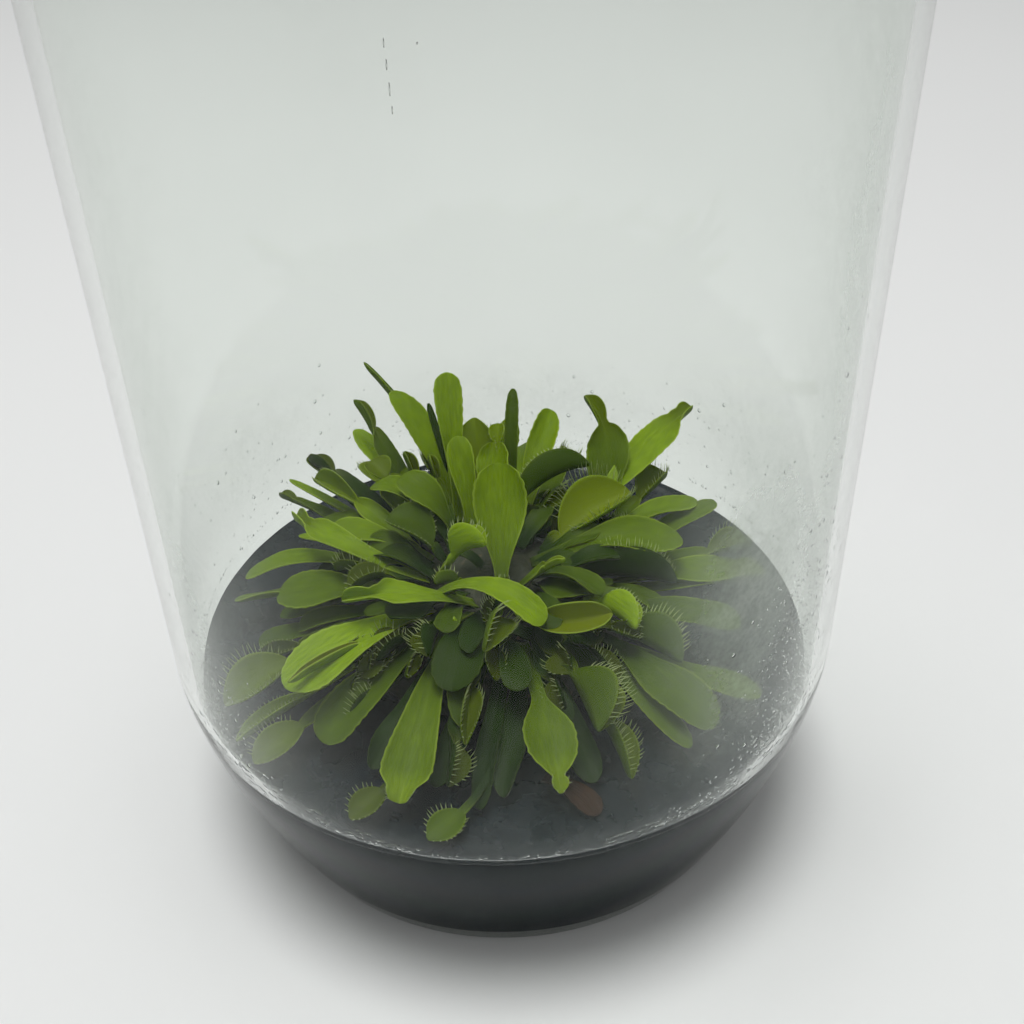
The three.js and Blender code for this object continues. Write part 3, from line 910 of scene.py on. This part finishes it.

# %% [markdown]
# These are the leaves that the photograph shows. Places are in millimetres: x to the right, y away
# from the camera, and the height of a tip above the gel. A tone of 0 is the deep green of a shaded
# leaf and 1 the yellow green of a fresh, well lit one, so the tones are painted shade and painted light
# as well as each leaf's own green. A trap is given by its length, the reach of a lobe, how far it gapes
# in degrees, and how far it is rolled to one side.

# %% Leaves in the photograph
SEEN_LEAVES = {
    "spear_leaf_back_left": leaf((-5.8, 10.5), (-15.5, 20, 23.5), 1.5, 0.45, sway=-2.2, slim=0.3),
    "spoon_leaf_back_left": leaf((-4.5, 8), (-12.5, 17, 21), 4.2, 0.85, sway=-1.5, slim=0.3),
    "folded_trap_back_left": leaf(
        (-8.2, 9), (-17.5, 22, 17), 2.6, 0.35, arch=1, trap=(4.5, 1.3, 50, -30), lash=0
    ),
    "open_trap_back_left": leaf(
        (-10.2, 6.5), (-16, 19.5, 9.5), 2.6, 0.65, arch=1, trap=(5, 2.6, 120, 0), lash=0.7
    ),
    "upright_leaf_back": leaf((-4.5, 6.5), (-5.5, 14.5, 25), 3.4, 0.86, ends=0.88, slim=0.2),
    "oval_leaf_back_left": leaf((-6.5, 6), (-12, 13.5, 11.5), 4.2, 0.45, arch=1.2),
    "tongue_leaf_back_left": leaf((-5, 3.5), (-15, 10, 12.5), 3, 0.6, arch=3),
    "heart_trap_left": leaf(
        (-6.5, 0.5), (-12.8, 2.8, 13), 2.2, 0.3, arch=1.5, trap=(6.2, 3.4, 125, -10), lash=0.4,
        olive=0
    ),
    "bright_trap_middle": leaf(
        (-7, -2), (-1.5, -4.5, 14.5), 1.6, 0.95, arch=1.5, trap=(4.8, 3, 55, 40), lash=0.8,
        olive=0.1
    ),
    "great_spoon_leaf": leaf((0, -5), (0.3, 3.8, 19.5), 6.2, 0.75),
    "olive_trap_back": leaf(
        (-2, 7), (-2.5, 15.5, 18), 2.2, 0.75, trap=(7.5, 3.2, 110, 0), lash=0.5, olive=0.4
    ),
    "folded_trap_far_left": leaf(
        (-11, 5), (-23.5, 18, 11.5), 2.4, 0.15, arch=1, trap=(4.5, 1.6, 50, 30), lash=0
    ),
    "toothed_trap_left": leaf(
        (-9.5, 3), (-22.5, 14.5, 10.5), 2.8, 0.75, arch=1.5, trap=(7.5, 2.6, 50, 20), lash=0.4
    ),
    "forked_leaf_far_left": leaf(
        (-12, 3.5), (-28, 18.5, 5.5), 1.8, 0.3, arch=1.2, trap=(3.2, 1, 70, 0)
    ),
    "long_leaf_left": leaf(
        (-8.2, -2.2), (-24, 7, 10.5), 3.6, 0.85, arch=2.8, sway=3.2, trap=(4.5, 1.7, 45, 0),
        lash=0, joint=1.2, ends=0.85
    ),
    "oblong_leaf_left": leaf((-13, 1.5), (-30.5, 4, 4.5), 2.9, 0.7, arch=2.6, ends=0.88, twist=10),
    "pointed_leaf_left": leaf((-12.5, -1), (-32, 2.3, 2.2), 2, 0.6, arch=0.5),
    "broad_leaf_left": leaf((-9, -5), (-25.5, -2, 6.5), 6, 0.48, arch=1, ends=0.8),
    "bright_leaf_left": leaf(
        (-3, -7), (-17, -9.8, 12), 3.6, 0.88, arch=2.4, sway=1.4, trap=(3.8, 1.7, 50, 30), lash=0,
        olive=0, joint=1.3, ends=0.85
    ),
    "golden_leaf_left": leaf((-7.5, -7), (-22.5, -18.5, 8), 6.2, 1.0, arch=1.5, ends=0.8, twist=8),
    "drooping_leaf_left": leaf((-7, -9), (-19, -21.5, 3), 5.4, 0.4, arch=1, ends=0.85, twist=8),
    "misty_trap_left": leaf(
        (-12.5, -6), (-29.5, -16.5, 3.8), 3.2, 0.5, arch=1, trap=(8, 3.4, 100, 0)
    ),
    "folded_trap_low_left": leaf(
        (-11.5, -9), (-28, -19.7, 1.8), 2, 0.8, arch=0.5, trap=(8, 1.6, 60, 0), lash=0.5
    ),
    "trap_on_gel_left": leaf(
        (-10.2, -10.2), (-25.8, -22.8, 1.6), 2, 0.45, arch=0.5, trap=(6, 2.2, 120, 0)
    ),
    "arching_leaf_middle": leaf(
        (-8.5, -5.5), (4.2, -14.8, 12), 3.4, 0.86, arch=3.8, twist=6, ends=0.88
    ),
    "dark_leaf_front": leaf((-2.6, -8.5), (-5.6, -20, 8), 5.4, 0.12, arch=1.5, twist=10),
    "ciliate_trap_front": leaf(
        (-0.5, -7), (-2, -17.5, 11), 2, 0.4, arch=1, trap=(5.8, 3.2, 50, 50)
    ),
    "folded_trap_front": leaf(
        (-3, -11), (-4.2, -25, 5.5), 2, 0.35, arch=0.5, trap=(6.8, 2.3, 50, 15)
    ),
    "dark_trap_front": leaf(
        (-4, -12.5), (-6, -28, 2.8), 1.8, 0.1, arch=0.5, trap=(4.5, 2.2, 60, 50)
    ),
    "spoon_leaf_front_left": leaf(
        (-6, -10.5), (-10.7, -30, 3), 5.4, 0.54, arch=1.2, trap=(0.9, 1.3, 80, 0), trap_tone=1.0,
        twist=8, ends=0.9, joint=1.9
    ),
    "round_trap_front_left": leaf(
        (-8, -12), (-15.6, -30.4, 1.4), 1.0, 0.0, arch=0.5, sway=3.2, trap=(4.2, 1.8, 120, 0),
        trap_tone=0.25, lash=0.8
    ),
    "trap_on_gel_front": leaf(
        (-1, -14), (-8, -33.2, 1.2), 0.8, 0.0, arch=-0.4, sway=3.4, trap=(4.4, 1.8, 140, 0),
        trap_tone=0.4, lash=0.8, olive=0
    ),
    "narrow_leaf_middle": leaf(
        (1.5, -5), (7, -6.2, 13.5), 2.2, 0.6, arch=0.5, trap=(2.4, 0.7, 50, 0)
    ),
    "ovate_leaf_middle": leaf((3, -3), (10.8, -9.2, 11), 4, 0.35, arch=1.5),
    "boat_trap_middle": leaf(
        (2, -8), (11.5, -12.3, 11), 2, 0.7, arch=1, sway=-3, trap=(8.2, 2.6, 80, -35), lash=0,
        olive=0.8, twist=0
    ),
    "bright_trap_right": leaf(
        (8, -5), (14, -13.3, 9.5), 1.8, 1.0, arch=1, trap=(5.8, 2.8, 44, 60), lash=0.45, olive=0.2,
        twist=0
    ),
    "round_trap_right": leaf(
        (8.5, -6.8), (18.8, -14.9, 6), 2, 0.3, arch=0.5, trap=(7.4, 3.8, 44, 65), lash=1.5, twist=0
    ),
    "shaded_leaf_front": leaf((1, -10), (11, -15, 5), 4.4, 0.1, arch=0.5),
    "round_trap_front": leaf(
        (5, -10.5), (9, -25.3, 7), 2, 0.35, arch=1, trap=(7.8, 4.3, 40, 70), lash=1.5, twist=0
    ),
    "spoon_leaf_front": leaf(
        (2, -11.5), (5, -30, 3.5), 6, 0.5, arch=1.5, trap=(1.7, 1.3, 80, 0), slim=0.42,
        trap_tone=0.9, twist=8, joint=0.9
    ),
    "narrow_leaf_front_right": leaf((8.5, -9.5), (18.5, -23.8, 2.5), 2.6, 0.45, arch=0.6),
    "folded_trap_front_right": leaf(
        (7, -11), (12, -28.5, 3.5), 2, 0.35, arch=0.5, trap=(7.2, 2.3, 50, 30)
    ),
    "misty_leaf_front_right": leaf((10, -8.5), (21, -22.5, 3.8), 5.6, 0.4, arch=1.2),
    "bud_leaf_back": leaf((1, 7), (2.3, 18.5, 20), 1.8, 0.3),
    "oval_leaf_back_right": leaf((2.5, 7.5), (7, 20.5, 15.5), 3.6, 0.75, arch=1),
    "toothed_trap_back_right": leaf(
        (-1.5, 4.5), (11, 10.5, 14), 2.0, 0.2, arch=2.6, trap=(10, 2.9, 34, 55), lash=0.45,
        olive=0.2, twist=0
    ),
    "great_trap_right": leaf(
        (5, 2.2), (15.8, 8, 11.4), 2.4, 0.4, arch=0.8, trap=(10, 4.4, 90, -5), lash=2.1, olive=0.6,
        trap_tone=0.8, twist=0
    ),
    "eared_leaf_back_right": leaf(
        (9, 7.5), (11.2, 21, 17), 5.6, 0.45, arch=1, sway=-3.6, trap=(4.5, 1.6, 70, 0), lash=0,
        slim=0.2, joint=1.0
    ),
    "long_leaf_right": leaf(
        (7.5, 4.5), (25, 22, 14), 4.4, 0.85, arch=1.5, trap=(3.2, 1.6, 60, 0), lash=0, slim=0.1,
        joint=1.5, trap_tone=0.7, ends=0.85
    ),
    "misty_trap_back_right": leaf((10, 4), (21, 15, 9), 2.2, 0.45, arch=0.5, trap=(5.4, 3, 70, 0)),
    "blade_leaf_right": leaf((3.5, -0.5), (21, 1, 9.8), 5.2, 0.55, arch=1.7),
    "dark_trap_right": leaf(
        (7, -2), (20, -2.5, 6.5), 2.2, 0.1, arch=0.8, trap=(11, 3.8, 50, 35), lash=1.0, twist=0
    ),
    "curled_leaf_right": leaf((11.5, 2), (26.3, 8.8, 9), 3, 0.5, arch=0.6),
    "misty_trap_right": leaf((12.5, 0), (30, 5, 5), 2.6, 0.45, arch=1, trap=(5.6, 2.8, 70, 0)),
    "misty_leaf_right": leaf((11, -5), (26.5, -8, 4.5), 5.4, 0.4, arch=0.6),
    "hidden_leaf_back": leaf((-1, 11), (-3, 29, 6), 3.6, 0.4, arch=1.5, trap=(5, 2.2, 70, 0)),
}
for number, (name, row) in enumerate(SEEN_LEAVES.items()):
    grow(name + "_grown", row, number, name)
print("leaves:", len(SEEN_LEAVES))

# %% [markdown]
# Between the leaves that have a place of their own stand smaller ones, which close the gaps in the
# middle of the clump. They stand for no solid of the CAD model, so they only ride with the plant.

# %% Small leaves between
SMALL_LEAVES = {
    "pale_tip_back_left": leaf((-6, 9), (-18, 23, 12), 2.8, 0.9),
    "thin_blade_back": leaf((-4, 9), (-8, 17.5, 19), 0.9, 0.1),
    "round_bud_back_left": leaf(
        (-7, 6), (-11, 12.6, 15.5), 1.4, 0.35, trap=(3.4, 1.7, 30, 0), lash=0, twist=0
    ),
    "round_bud_back": leaf(
        (-5, 5), (-8, 12.2, 15.2), 1.4, 0.45, trap=(3.0, 1.5, 30, 0), lash=0, twist=0
    ),
    "lobed_leaf_back_left": leaf(
        (-8, 6), (-15.5, 13.5, 13.5), 4.2, 0.45, arch=1, trap=(3, 2.2, 110, 0), lash=0
    ),
    "low_oval_leaf_middle": leaf((-4.5, 3.5), (-11.5, 7.4, 15.3), 4.0, 0.5, arch=2.2, slim=0.2),
    "oval_leaf_above": leaf((-3, 4), (-4.5, 11, 18.5), 3.4, 0.75, arch=0.6, slim=0.25),
    "broad_leaf_behind": leaf(
        (-1, 5), (0.5, 14, 18), 4.6, 0.8, arch=1.0, slim=0.25, trap=(2.4, 1.5, 80, 0), lash=0.5
    ),
    "dark_hood_left": leaf(
        (-10, 6), (-23.2, 16.4, 12.2), 3.0, 0.1, arch=1.5, trap=(4, 1.6, 60, -20), lash=0
    ),
    "wide_leaf_under_left": leaf((-9, 3), (-22, 9, 8.0), 4.4, 0.4, arch=1.6, slim=0.1),
    "fresh_leaf_left": leaf((-8, 1), (-20, 5.5, 9.5), 4.0, 0.7, arch=1.6, slim=0.1),
    "dark_leaf_under_left": leaf((-8, -1.5), (-18, 1, 6.5), 4.6, 0.1, arch=1.6),
    "leaf_behind_middle": leaf((-1, 9), (2, 20, 15), 3.0, 0.6),
    "cup_tip_left": leaf((-10, 6), (-26.5, 19, 7.5), 1.3, 0.8),
    "bit_far_left": leaf((-10, 5), (-25, 12, 4), 1.2, 0.9),
    "golden_leaf_trap": leaf(
        (-8, -7), (-21.8, -19.6, 9.9), 0.5, 0.7, arch=0.5, trap=(8.5, 1.0, 40, 0), lash=0,
        olive=0.9, twist=0
    ),
    "shaded_leaf_low_left": leaf((-6, -11), (-14, -24, 1.5), 3.2, 0.05),
    "shaded_trap_low_left": leaf(
        (-7, -9), (-16.5, -19.5, 2.5), 2.2, 0.1, trap=(5.5, 2.6, 70, -40), lash=1.2
    ),
    "shaded_leaf_low_middle": leaf((-2, -13), (-7.5, -26.5, 1.2), 3.2, 0.05),
    "shaded_leaf_low_front": leaf((0, -13), (-3, -29.5, 1.0), 2.8, 0.0),
    "shaded_leaf_low_right": leaf((4, -12), (8.5, -27, 1.4), 3.4, 0.05),
    "dim_leaf_left": leaf((-11, -2), (-26, -1, 2.5), 2.2, 0.3, ends=0.85),
    "dim_leaf_far_left": leaf((-11, -4), (-28, -5.2, 2), 2.6, 0.35, ends=0.85),
    "dim_trap_left": leaf((-10, -6), (-27.5, -9, 3), 2.4, 0.3, trap=(5, 1.8, 60, 20), lash=0.7),
    "spindle_front": leaf((-5, -8), (-7.5, -16, 9), 1.6, 0.3),
    "tiny_tip_front": leaf((-3.5, -8), (-5, -12.5, 11), 0.9, 0.8),
    "yellow_trap_back": leaf((0, 8), (-0.5, 13, 14.5), 1.2, 0.9, trap=(3.6, 1.8, 60, 0), olive=0.8),
    "hazy_trap_right": leaf((12, -2), (31, 0, 5), 1.8, 0.6, trap=(5, 2.2, 80, 0)),
    "dark_leaf_low_front": leaf((2, -13), (-0.5, -28.5, 1.5), 3.3, 0.05),
    "hazy_round_leaf_right": leaf((12, -1), (29.5, 1.2, 4), 4.4, 0.6, arch=1.5),
    "hazy_leaf_back_right": leaf((10, 4), (24, 9.5, 9), 3.6, 0.65, arch=1.5),
    "hazy_leaf_right": leaf((12, -8), (27, -17, 2.5), 3.3, 0.5),
    "hazy_leaf_low_right": leaf((11, -9), (24, -14.5, 1), 2.7, 0.4),
}
for number, (name, row) in enumerate(SMALL_LEAVES.items()):
    grow(name, row, SMALL_FIRST + number)
print("small leaves:", len(SMALL_LEAVES))

# %% [markdown]
# The youngest leaves of a flytrap stand close together in the crown, short and dark in the shade of
# the older ones. Their exact places can't be seen, so they are scattered by a seeded generator over
# the crown, leaning outwards.

# %% Young leaves of the crown
YOUNG_LEAVES = 34
TRAPPED_SHARE = 0.45


def on_crown(out, angle):
    """A place on the crown, at a share of its radius in some direction."""
    return (
        CROWN_X + CROWN_RADIUS_X * out * math.cos(angle),
        CROWN_Y + CROWN_RADIUS_Y * out * math.sin(angle),
    )


young = np.random.default_rng(SEED)
for number in range(YOUNG_LEAVES):
    angle = young.uniform(0, 2 * math.pi)
    out = math.sqrt(young.uniform(0.0, 0.72))
    foot = on_crown(out, angle)
    reach = young.uniform(2.5, 6.0)
    lean = angle + young.uniform(-0.6, 0.6)
    tip = (
        foot[0] + reach * math.cos(lean), foot[1] + reach * math.sin(lean),
        crown_height(*foot) + young.uniform(1.0, 3.6),
    )
    trap = (young.uniform(1.6, 3.2), young.uniform(0.6, 1.5), 50, young.uniform(-40, 40))
    # painted shade: low tones paint these young leaves dark in the shade of the older ones
    row = leaf(
        foot, tip, young.uniform(0.8, 2.2), young.uniform(0.0, 0.45), arch=young.uniform(0.2, 0.8),
        trap=trap if young.uniform() < TRAPPED_SHARE else None,
    )
    grow(f"young_leaf_{number:02d}", row, YOUNG_FIRST + number)
print("young leaves:", YOUNG_LEAVES)

# %% [markdown]
# Under the leaves that show, the clump has a lower storey of leaves in their shade. Without them dark
# gel would show through the middle. They are set round the crown by the golden angle, which is how
# many plants space their leaves, with some scatter in their reach and height.

# %% Leaves of the lower storey
LOW_LEAVES = 60
GOLDEN_ANGLE = math.radians(137.508)
low = np.random.default_rng(SEED + 2)
for number in range(LOW_LEAVES):
    angle = number * GOLDEN_ANGLE + low.uniform(-0.2, 0.2)
    share = (number + 0.5) / LOW_LEAVES
    lean = angle + low.uniform(-0.3, 0.3)
    foot_out, tip_out = 0.35 + 0.45 * share, 8.5 + 13.5 * math.sqrt(share)
    foot = on_crown(foot_out, angle)
    height = 11.5 - 8.0 * share + low.uniform(-1.5, 1.5)
    tip = (CROWN_X + tip_out * math.cos(lean), CROWN_Y + tip_out * math.sin(lean), height)
    trap = (low.uniform(3.0, 5.0), low.uniform(1.4, 2.6), low.uniform(40, 90), low.uniform(-60, 60))
    # painted shade: low tones paint the lower storey dark in the shade of the leaves above
    row = leaf(
        foot, tip, low.uniform(2.4, 4.8), low.uniform(0.02, 0.42), arch=low.uniform(0.4, 1.6),
        sway=low.uniform(-1.2, 1.2), trap=trap if low.uniform() < TRAPPED_SHARE else None, slim=0.1,
    )
    grow(f"low_leaf_{number:02d}", row, LOW_FIRST + number)
print("low leaves:", LOW_LEAVES)

# %% [markdown]
# Round the back, where the photograph doesn't look, the clump goes on as it does in front: leaves lie
# outwards over the gel, some with traps.

# %% Leaves at the back
BACK_LEAVES = {
    "back_leaf_left": leaf((-8, 11), (-15, 26, 2.5), 3.4, 0.5, arch=1.0, trap=(4.5, 2.0, 60, 20)),
    "back_leaf_low_left": leaf((-6, 11.5), (-9, 30, 2.0), 2.6, 0.4, arch=0.8, trap=(5, 2.2, 90, 0)),
    "back_spoon_leaf": leaf((1, 12), (3, 31, 3.0), 4.6, 0.6, arch=1.2),
    "back_leaf_right": leaf((4, 11), (10, 28, 3.2), 3.0, 0.45, arch=1.0, trap=(5, 2.4, 70, -20)),
    "back_leaf_low": leaf((0, 12.5), (-2, 26, 1.5), 2.2, 0.3, arch=0.5, trap=(4, 2.2, 110, 0)),
    "back_leaf_far_right": leaf((7, 9.5), (16, 25, 3.5), 3.2, 0.6, arch=1.0),
}
for number, (name, row) in enumerate(BACK_LEAVES.items()):
    grow(name, row, BACK_FIRST + number)
print("back leaves:", len(BACK_LEAVES))

# %% [markdown]
# One old leaf has died and lies on the gel in front, thin and brown. It is made like the others, as it
# is the same organ, with its own dry brown material.

# %% Dead leaf
def dead_brown():
    material, tree = new_material("dead_leaf_brown")
    skin = add_node(tree, "ShaderNodeUVMap", uv_map="skin").outputs[0]
    wrinkles = noise(tree, stretched(tree, skin, (40.0, 5.0, 1.0)), 1.0)
    colour = mix_colours(tree, wrinkles, (0.018, 0.008, 0.003), (0.052, 0.022, 0.009))
    show(tree, surface(tree, colour, 0.7, bumps(tree, wrinkles, 0.6, 0.0002), 0.1))
    return material


DEAD_FOOT, DEAD_ABOVE = (3.5, -25.6), 0.7
dead = leaf(
    DEAD_FOOT, (8.5, -30.6, DEAD_ABOVE), 2.6, 0.0, arch=0.4, sway=0.6, twist=0, bends=3, phase=1
)
start = np.array([*DEAD_FOOT, GEL_TOP + DEAD_ABOVE])
points, faces, values, skin = leaf_sheet(dead, start, np.random.default_rng(SEED))
make_piece("dead_leaf_grown", points, faces, [dead_brown()], "dead_leaf", values, skin)
print("dead leaf made")

# %% [markdown]
# The air in the jar is damp, so its inner wall is misted in places. Seen from outside, mist is a
# white veil that hides what is behind it by degrees, so it is a thin film just inside the wall whose
# shader mixes clear with matt white. How thick it is comes from soft patches that are set out by their
# place on the wall: degrees round from the front, and millimetres above the gel. Noise breaks them up
# and adds a very thin cloud everywhere.

# %% Mist on the glass
FILM_GAP = 0.12
FILM_RADIUS = JAR_RADIUS - WALL - FILM_GAP
FILM_STEPS, FILM_ROWS = 360, 130
FILM_FOOT, FILM_TOP = GEL_TOP + 0.3, JAR_HEIGHT - 6.0
MIST_WHITE = (0.74, 0.78, 0.74, 1.0)
# degrees round, height above the gel, half width in degrees, half height in mm, thickness
MIST_PATCHES = (
    (64, 22, 20, 28, 0.75), (38, 27, 12, 14, 0.85), (80, 45, 22, 36, 0.45), (37, 14, 11, 8, 0.50),
    (-58, 16, 16, 26, 0.50), (-40, 25, 8, 10, 0.16), (-46, 8, 12, 6, 0.25), (-80, 40, 20, 34, 0.30),
    (180, 8, 60, 6, 0.22), (120, 12, 24, 8, 0.30), (-120, 12, 24, 8, 0.28),
)


def water_mist():
    material, tree = new_material("water_mist")
    place = object_place(tree)
    patchy = remap(tree, noise(tree, place, 260.0, 4.0, 0.6), 0.25, 0.7, 0.60, 1.0)
    grainy = remap(tree, noise(tree, place, 1800.0, 2.0), 0.3, 0.65, 0.75, 1.0)
    cloud = remap(tree, noise(tree, place, 28.0, 2.0), 0.40, 0.70, 0.0, 0.07)
    thick = combine(tree, "ADD", attribute(tree, "mist"), cloud)
    share = times(tree, thick, times(tree, patchy, grainy))
    white = add_node(tree, "ShaderNodeBsdfDiffuse", {"Color": MIST_WHITE}).outputs[0]
    veil = mix_shaders(tree, 0.5, white, shine_through(tree, MIST_WHITE))
    clear = add_node(tree, "ShaderNodeBsdfTransparent").outputs[0]
    show(tree, mix_shaders(tree, share, clear, veil))
    return material


angle = np.linspace(0, 2 * math.pi, FILM_STEPS, endpoint=False)
height = np.linspace(FILM_FOOT, FILM_TOP, FILM_ROWS)
round_about, up = np.meshgrid(angle, height)
points = np.stack([
    FILM_RADIUS * np.sin(round_about), -FILM_RADIUS * np.cos(round_about), up,
], -1).reshape(-1, 3)
radius = np.minimum(FILM_RADIUS, wall_radius(points[:, 2], WALL, FLOOR) - FILM_GAP)
points[:, :2] *= (radius / FILM_RADIUS)[:, None]
mist = np.zeros(FILM_ROWS * FILM_STEPS)
degrees, above = np.degrees(round_about).ravel(), up.ravel() - GEL_TOP
for at, high, half_round, half_high, thick in MIST_PATCHES:
    apart = (degrees - at + 180) % 360 - 180
    falls_off = -((apart / half_round) ** 2) - ((above - high) / half_high) ** 2
    mist = np.maximum(mist, thick * np.exp(falls_off))
faces = grid_quads(FILM_ROWS, FILM_STEPS, around=True)
make_piece("mist_film", points, faces, [water_mist()], values={"mist": mist})
print("mist patches:", len(MIST_PATCHES))

# %% [markdown]
# Larger water has gathered into beads: very many of them low down beside the mist and along the line
# of the gel, and a few above. Each is a small flattened ball on the inner wall. They are one mesh,
# made from one low ball that is copied, squashed and turned in numpy, because thousands of separate
# objects would be slow.

# %% Water beads
BEAD_GAP = 0.04
BEAD_RADIUS = JAR_RADIUS - WALL - BEAD_GAP
BEAD_SIDES, BEAD_RINGS = 6, 4
WATER_TINT, WATER_INDEX = (0.97, 0.99, 0.98), 1.33


def small_ball():
    """A ball of radius one with few faces: the middle of a bead."""
    tilt = np.linspace(0, math.pi, BEAD_RINGS + 1)[1:-1]
    turn = np.arange(BEAD_SIDES) * 2 * math.pi / BEAD_SIDES
    ring = np.stack([
        np.sin(tilt)[:, None] * np.cos(turn), np.sin(tilt)[:, None] * np.sin(turn),
        np.cos(tilt)[:, None] + 0 * turn,
    ], -1).reshape(-1, 3)
    points = np.vstack([ring, [0, 0, 1], [0, 0, -1]])
    top, bottom = len(ring), len(ring) + 1
    last = (len(tilt) - 1) * BEAD_SIDES
    faces = [list(f) for f in grid_quads(len(tilt), BEAD_SIDES, around=True, turned=True)]
    triangles = []
    for k in range(BEAD_SIDES):
        triangles += [[top, k, (k + 1) % BEAD_SIDES], [bottom, last + (k + 1) % BEAD_SIDES, last + k]]
    return points, faces + triangles


def beads_on_wall(degrees, height, wide, high, proud, slant=None):
    """Beads as one mesh: place round the wall and above the gel, and size along, up and inwards."""
    ball, ball_faces = small_ball()
    turn = np.radians(degrees)
    radius = np.minimum(BEAD_RADIUS, wall_radius(GEL_TOP + height, WALL, FLOOR) - BEAD_GAP)
    centre = np.stack([radius * np.sin(turn), -radius * np.cos(turn), GEL_TOP + height], -1)
    along = np.stack([np.cos(turn), np.sin(turn), 0 * turn], -1)
    inward = np.stack([-np.sin(turn), np.cos(turn), 0 * turn], -1)
    upward = np.tile([0.0, 0.0, 1.0], (len(turn), 1))
    if slant is not None:
        cos, sin = np.cos(slant)[:, None], np.sin(slant)[:, None]
        along, upward = along * cos + upward * sin, upward * cos - along * sin
    points = centre[:, None] + (
        ball[None, :, :1] * (along * wide[:, None])[:, None]
        + ball[None, :, 1:2] * (upward * high[:, None])[:, None]
        + ball[None, :, 2:] * (inward * proud[:, None])[:, None]
    )
    shift = np.arange(len(turn)) * len(ball)
    faces = [[int(v) + int(s) for v in face] for s in shift for face in ball_faces]
    return points.reshape(-1, 3), faces


def water_drop():
    material, tree = new_material("water_drop")
    glint = noise(tree, object_place(tree), 3000.0, 1.0)
    smoothness = remap(tree, glint, 0.3, 0.7, 0.02, 0.10)
    show(tree, clear_body(tree, WATER_TINT, (1.0, 1.0, 1.0), smoothness, WATER_INDEX))
    return material


# degrees round, height above the gel, spread in degrees, spread in mm, beads, mean size in mm
BEAD_PATCHES = (
    (55, 15, 7, 8, 1400, 0.070), (48, 6, 7, 3, 300, 0.085), (48, 3.5, 7, 1.5, 140, 0.14),
    (62, 24, 7, 14, 600, 0.080), (33, 2.0, 6, 0.7, 70, 0.08),
    (-54, 7, 6, 4, 440, 0.080), (-50, 2.5, 6, 1, 90, 0.12), (-60, 18, 6, 9, 360, 0.075),
    (180, 5, 50, 3, 120, 0.10), (120, 7, 22, 4, 110, 0.11), (-120, 7, 22, 4, 110, 0.11),
)
spray = np.random.default_rng(SEED + 1)
bead_rows = []
for at, high, spread_round, spread_high, count, size in BEAD_PATCHES:
    degrees = spray.normal(at, spread_round, count)
    height = np.abs(spray.normal(high, spread_high, count)) + 1.0
    bead_rows.append(np.stack([degrees, height, size * spray.lognormal(0, 0.45, count)], -1))
LINE_BEADS, LINE_SIZE, SMALLEST, LARGEST = 700, 0.09, 0.04, 0.30
degrees = spray.uniform(-180, 180, LINE_BEADS)
height = 1.05 + np.abs(spray.normal(0, 0.3, LINE_BEADS))
bead_rows.append(np.stack([degrees, height, LINE_SIZE * spray.lognormal(0, 0.4, LINE_BEADS)], -1))
degrees, height, size = np.concatenate(bead_rows).T
size = np.clip(size, SMALLEST, LARGEST)
WATER_DROP = water_drop()
points, faces = beads_on_wall(degrees, height, size, size * 1.1, size * 0.45)
make_piece("water_beads", points, faces, [WATER_DROP])
print("beads:", len(size))

# %% [markdown]
# Just above the gel, some drops have run together into short streaks. They are the same beads, drawn
# out along the wall. A trail that ran down and a speck stand alone on the clear wall in front.

# %% Water streaks
# degrees round, height above the gel, half length and half height in mm, slant in degrees
STREAKS = (
    (45, 4.4, 1.3, 0.22, 8), (36, 1.6, 1.1, 0.2, 5), (50, 2.6, 0.9, 0.18, 10), (30, 2.4, 0.8, 0.15, 4),
    (24, 1.9, 0.9, 0.14, 2), (56, 5.6, 0.8, 0.2, 12), (41, 6.4, 0.6, 0.16, 8), (-46, 3.6, 1.0, 0.2, -8),
    (-53, 5.2, 0.9, 0.2, -10), (-40, 2.2, 0.8, 0.15, -4), (-30, 1.8, 0.7, 0.13, -2),
    (-9, 75.2, 0.05, 0.5, 0), (-9.1, 76.7, 0.05, 0.4, 0), (-9.2, 78, 0.04, 0.35, 0),
    (-8.9, 73.9, 0.04, 0.3, 0), (-6, 78, 0.07, 0.08, 0),
)
SMALL_STREAKS, STREAK_PROUD = 110, 0.16
drawn = np.random.default_rng(SEED + 3)
side = np.where(drawn.uniform(size=SMALL_STREAKS) < 0.7, 1.0, -1.0)
turn = drawn.uniform(14, 64, SMALL_STREAKS)
above = drawn.uniform(1.2, 2.2, SMALL_STREAKS)
above = above + (turn / 60) ** 2 * drawn.uniform(0, 4, SMALL_STREAKS)
small = np.stack([
    side * turn, above, drawn.uniform(0.25, 0.9, SMALL_STREAKS),
    drawn.uniform(0.05, 0.12, SMALL_STREAKS), side * turn / 6,
], -1)
rows = np.vstack([np.array(STREAKS, float), small])
points, faces = beads_on_wall(
    *rows[:, :4].T, np.full(len(rows), STREAK_PROUD), np.radians(rows[:, 4])
)
make_piece("water_streaks", points, faces, [WATER_DROP])
print("streaks:", len(rows))
